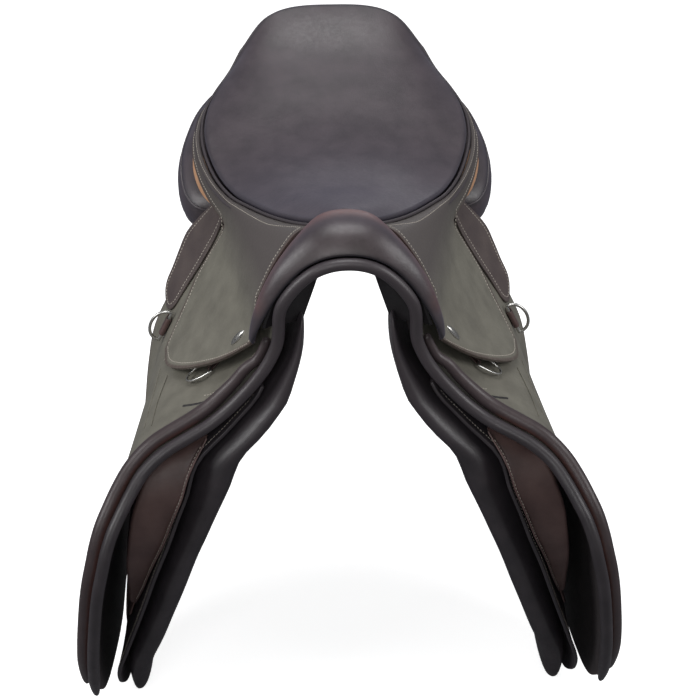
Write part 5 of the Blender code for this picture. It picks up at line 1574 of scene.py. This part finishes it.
def folded_loop(name, wire, tail, width, place, side):
    """Leather folded round a wire, its two tails lying on each other."""
    inner = wire + GAP
    outer = inner + CHAPE_THICKNESS
    arc = [math.radians(-90 - 180 * i / 20) for i in range(21)]
    outline = ([(tail, -outer)] + [(outer * math.cos(a), outer * math.sin(a)) for a in arc]
               + [(inner * 1.6, outer), (tail, -outer + 2 * CHAPE_THICKNESS + LAY),
                  (tail, -outer + CHAPE_THICKNESS + LAY), (inner * 1.4, inner)]
               + [(inner * math.cos(a), inner * math.sin(a)) for a in reversed(arc)] + [(tail, -inner)])
    bm = bmesh.new()
    face = bm.faces.new([bm.verts.new((x, y, -width / 2)) for x, y in outline])
    raised = bmesh.ops.extrude_face_region(bm, geom=[face])["geom"]
    bmesh.ops.translate(bm, vec=(0, 0, width), verts=[v for v in raised if isinstance(v, bmesh.types.BMVert)])
    bmesh.ops.transform(bm, matrix=place, verts=bm.verts)
    bmesh.ops.scale(bm, vec=(side, 1, 1), verts=bm.verts)
    bmesh.ops.recalc_face_normals(bm, faces=bm.faces)
    item = new_piece(name, bm, RUSSET, 40)
    rounding = item.modifiers.new("edge", "BEVEL")
    rounding.width = 0.00035
    rounding.segments = 2
    rounding.limit_method = "ANGLE"
    rounding.angle_limit = math.radians(50)
    return item


here, rear, up, out = directions(0.0, -0.137, 0.0)
centre = here + out * (LAY + CHAPE_THICKNESS + GAP + DEE_WIRE)
dee_ring = [centre + up * a + out * b for a, b in ring_path(DEE_LENGTH / 2, DEE_REACH)]
chape_place = axes(centre, rear, out)
top = on_surface(outer_x, FRONT_DEE_Y, FRONT_DEE_Z, BAR_POCKET - FRONT_DEE_LIFT)
tip = on_surface(outer_x, FRONT_DEE_Y, FRONT_DEE_Z - FRONT_DEE_DROP, FRONT_DEE_TIP)
rear, up, out = directions(FRONT_DEE_Y, FRONT_DEE_Z, BAR_POCKET)[1:]
front_ring = [top + rear * a + (tip - top).normalized() * b
              for a, b in ring_path(FRONT_DEE_WIDTH / 2, FRONT_DEE_DROP)]
front_place = axes(top, up, out)
stud_at, rear, up, out = directions(-0.168, -0.055, -SKIRT_THICKNESS - SKIRT_LAY - LAY)
lean = (up + rear * -0.35).normalized()
stud_place = axes(stud_at, lean, out.cross(lean))
for prefix, side in SIDES:
    item = pipe(prefix + "side_ring", [(side * p.x, p.y, p.z) for p in dee_ring], DEE_WIRE, STEEL, 14, True)
    settle(item, prefix + "side_dee", "steel", prefix + "side_dee")
    item = pipe(prefix + "front_ring", [(side * p.x, p.y, p.z) for p in front_ring], FRONT_DEE_WIRE,
                STEEL, 12, True)
    settle(item, prefix + "front_dee", "steel", prefix + "front_dee")
    item = folded_loop(prefix + "side_loop", DEE_WIRE, 0.016, 0.022, chape_place, side)
    settle(item, "saddle", "russet_leather", prefix + "side_chape")
    item = folded_loop(prefix + "front_loop", FRONT_DEE_WIRE, 0.013, 0.013, front_place, side)
    settle(item, "saddle", "russet_leather", prefix + "front_chape")
    bm = bmesh.new()
    bmesh.ops.create_uvsphere(bm, u_segments=40, v_segments=24, radius=1.0)
    bmesh.ops.bisect_plane(bm, geom=list(bm.verts) + list(bm.edges) + list(bm.faces), dist=0.00001,
                           plane_co=(0, 0, 0), plane_no=(0, 0, -1), clear_outer=True)
    bmesh.ops.holes_fill(bm, edges=[edge for edge in bm.edges if edge.is_boundary], sides=0)
    bmesh.ops.scale(bm, vec=(STUD_LENGTH / 2, STUD_WIDTH / 2, STUD_HEIGHT), verts=bm.verts)
    bmesh.ops.transform(bm, matrix=stud_place, verts=bm.verts)
    bmesh.ops.scale(bm, vec=(side, 1, 1), verts=bm.verts)
    bmesh.ops.recalc_face_normals(bm, faces=bm.faces)
    settle(new_piece(prefix + "stud_plate", bm, STEEL), prefix + "skirt", "steel", prefix + "skirt_stud")


# Stage: a pale floor under the saddle, large soft lights and the photograph's viewpoint.

def area_light(name, place, target, size, energy):
    lamp = bpy.data.lights.new(name, "AREA")
    lamp.shape = "DISK"
    lamp.size = size
    lamp.energy = energy
    item = bpy.data.objects.new(name, lamp)
    item.location = place
    item.rotation_euler = (Vector(target) - Vector(place)).to_track_quat("-Z", "Y").to_euler()
    bpy.context.scene.collection.objects.link(item)
    return item


area_light("top_light", (0.0, -0.15, 2.3), (0.0, 0.0, 0.0), 1.2, 20)
area_light("left_light", (-2.1, -0.8, 1.2), (0.0, 0.0, -0.1), 1.5, 28)
area_light("right_light", (2.1, -0.8, 1.2), (0.0, 0.0, -0.1), 1.5, 24)
area_light("front_light", (-0.4, -2.4, 1.3), (0.0, 0.0, -0.2), 1.4, 13)
area_light("back_light", (0.3, 2.6, 0.9), (0.0, 0.1, 0.0), 1.6, 5)

bm = bmesh.new()
bmesh.ops.create_grid(bm, x_segments=1, y_segments=1, size=12.0)
floor_look, tree, shader = blank("pale floor")
shader.inputs["Roughness"].default_value = 0.9
path = add(tree, "ShaderNodeLightPath").outputs["Is Camera Ray"]
shader.inputs["Emission Color"].default_value = tone("ffffff")
tree.links.new(spread(tree, path, 0.0, 1.0, 0.0, 0.75), shader.inputs["Emission Strength"])
tree.links.new(mixed(tree, path, tone("6e6e70"), tone("f4f4f4")), shader.inputs["Base Color"])
floor = new_piece("floor", bm, floor_look)
floor.location = (0.0, 0.0, size_at_load[0][2] - 0.001)

world = bpy.data.worlds.new("studio")
world.use_nodes = True
bpy.context.scene.world = world
sky = world.node_tree.nodes["Background"]
sky.inputs["Color"].default_value = tone("f4f5f8")
path = add(world.node_tree, "ShaderNodeLightPath").outputs["Is Camera Ray"]
world.node_tree.links.new(spread(world.node_tree, path, 0.0, 1.0, 0.22, 1.1), sky.inputs["Strength"])

azimuth, elevation, distance, focal = math.radians(-2.5), math.radians(31.0), 1.8, 1812.6
back_way = Vector((math.sin(azimuth) * math.cos(elevation), -math.cos(azimuth) * math.cos(elevation),
                   math.sin(elevation)))
right_way = Vector((math.cos(azimuth), math.sin(azimuth), 0.0))
up_way = back_way.cross(right_way)
lens = bpy.data.cameras.new("camera")
lens.lens = 93.2
lens.sensor_width = 36.0
camera = bpy.data.objects.new("camera", lens)
camera.matrix_world = Matrix.Translation(
    Vector((0, -0.215, 0.05)) + back_way * distance - right_way * ((347.5 - 350) / focal * distance)
    - up_way * ((350 - 270) / focal * distance)) @ Matrix((
        (right_way.x, up_way.x, back_way.x), (right_way.y, up_way.y, back_way.y),
        (right_way.z, up_way.z, back_way.z))).to_4x4()
bpy.context.scene.collection.objects.link(camera)
bpy.context.scene.camera = camera
bpy.context.scene.view_settings.view_transform = "Standard"

bpy.context.view_layer.update()
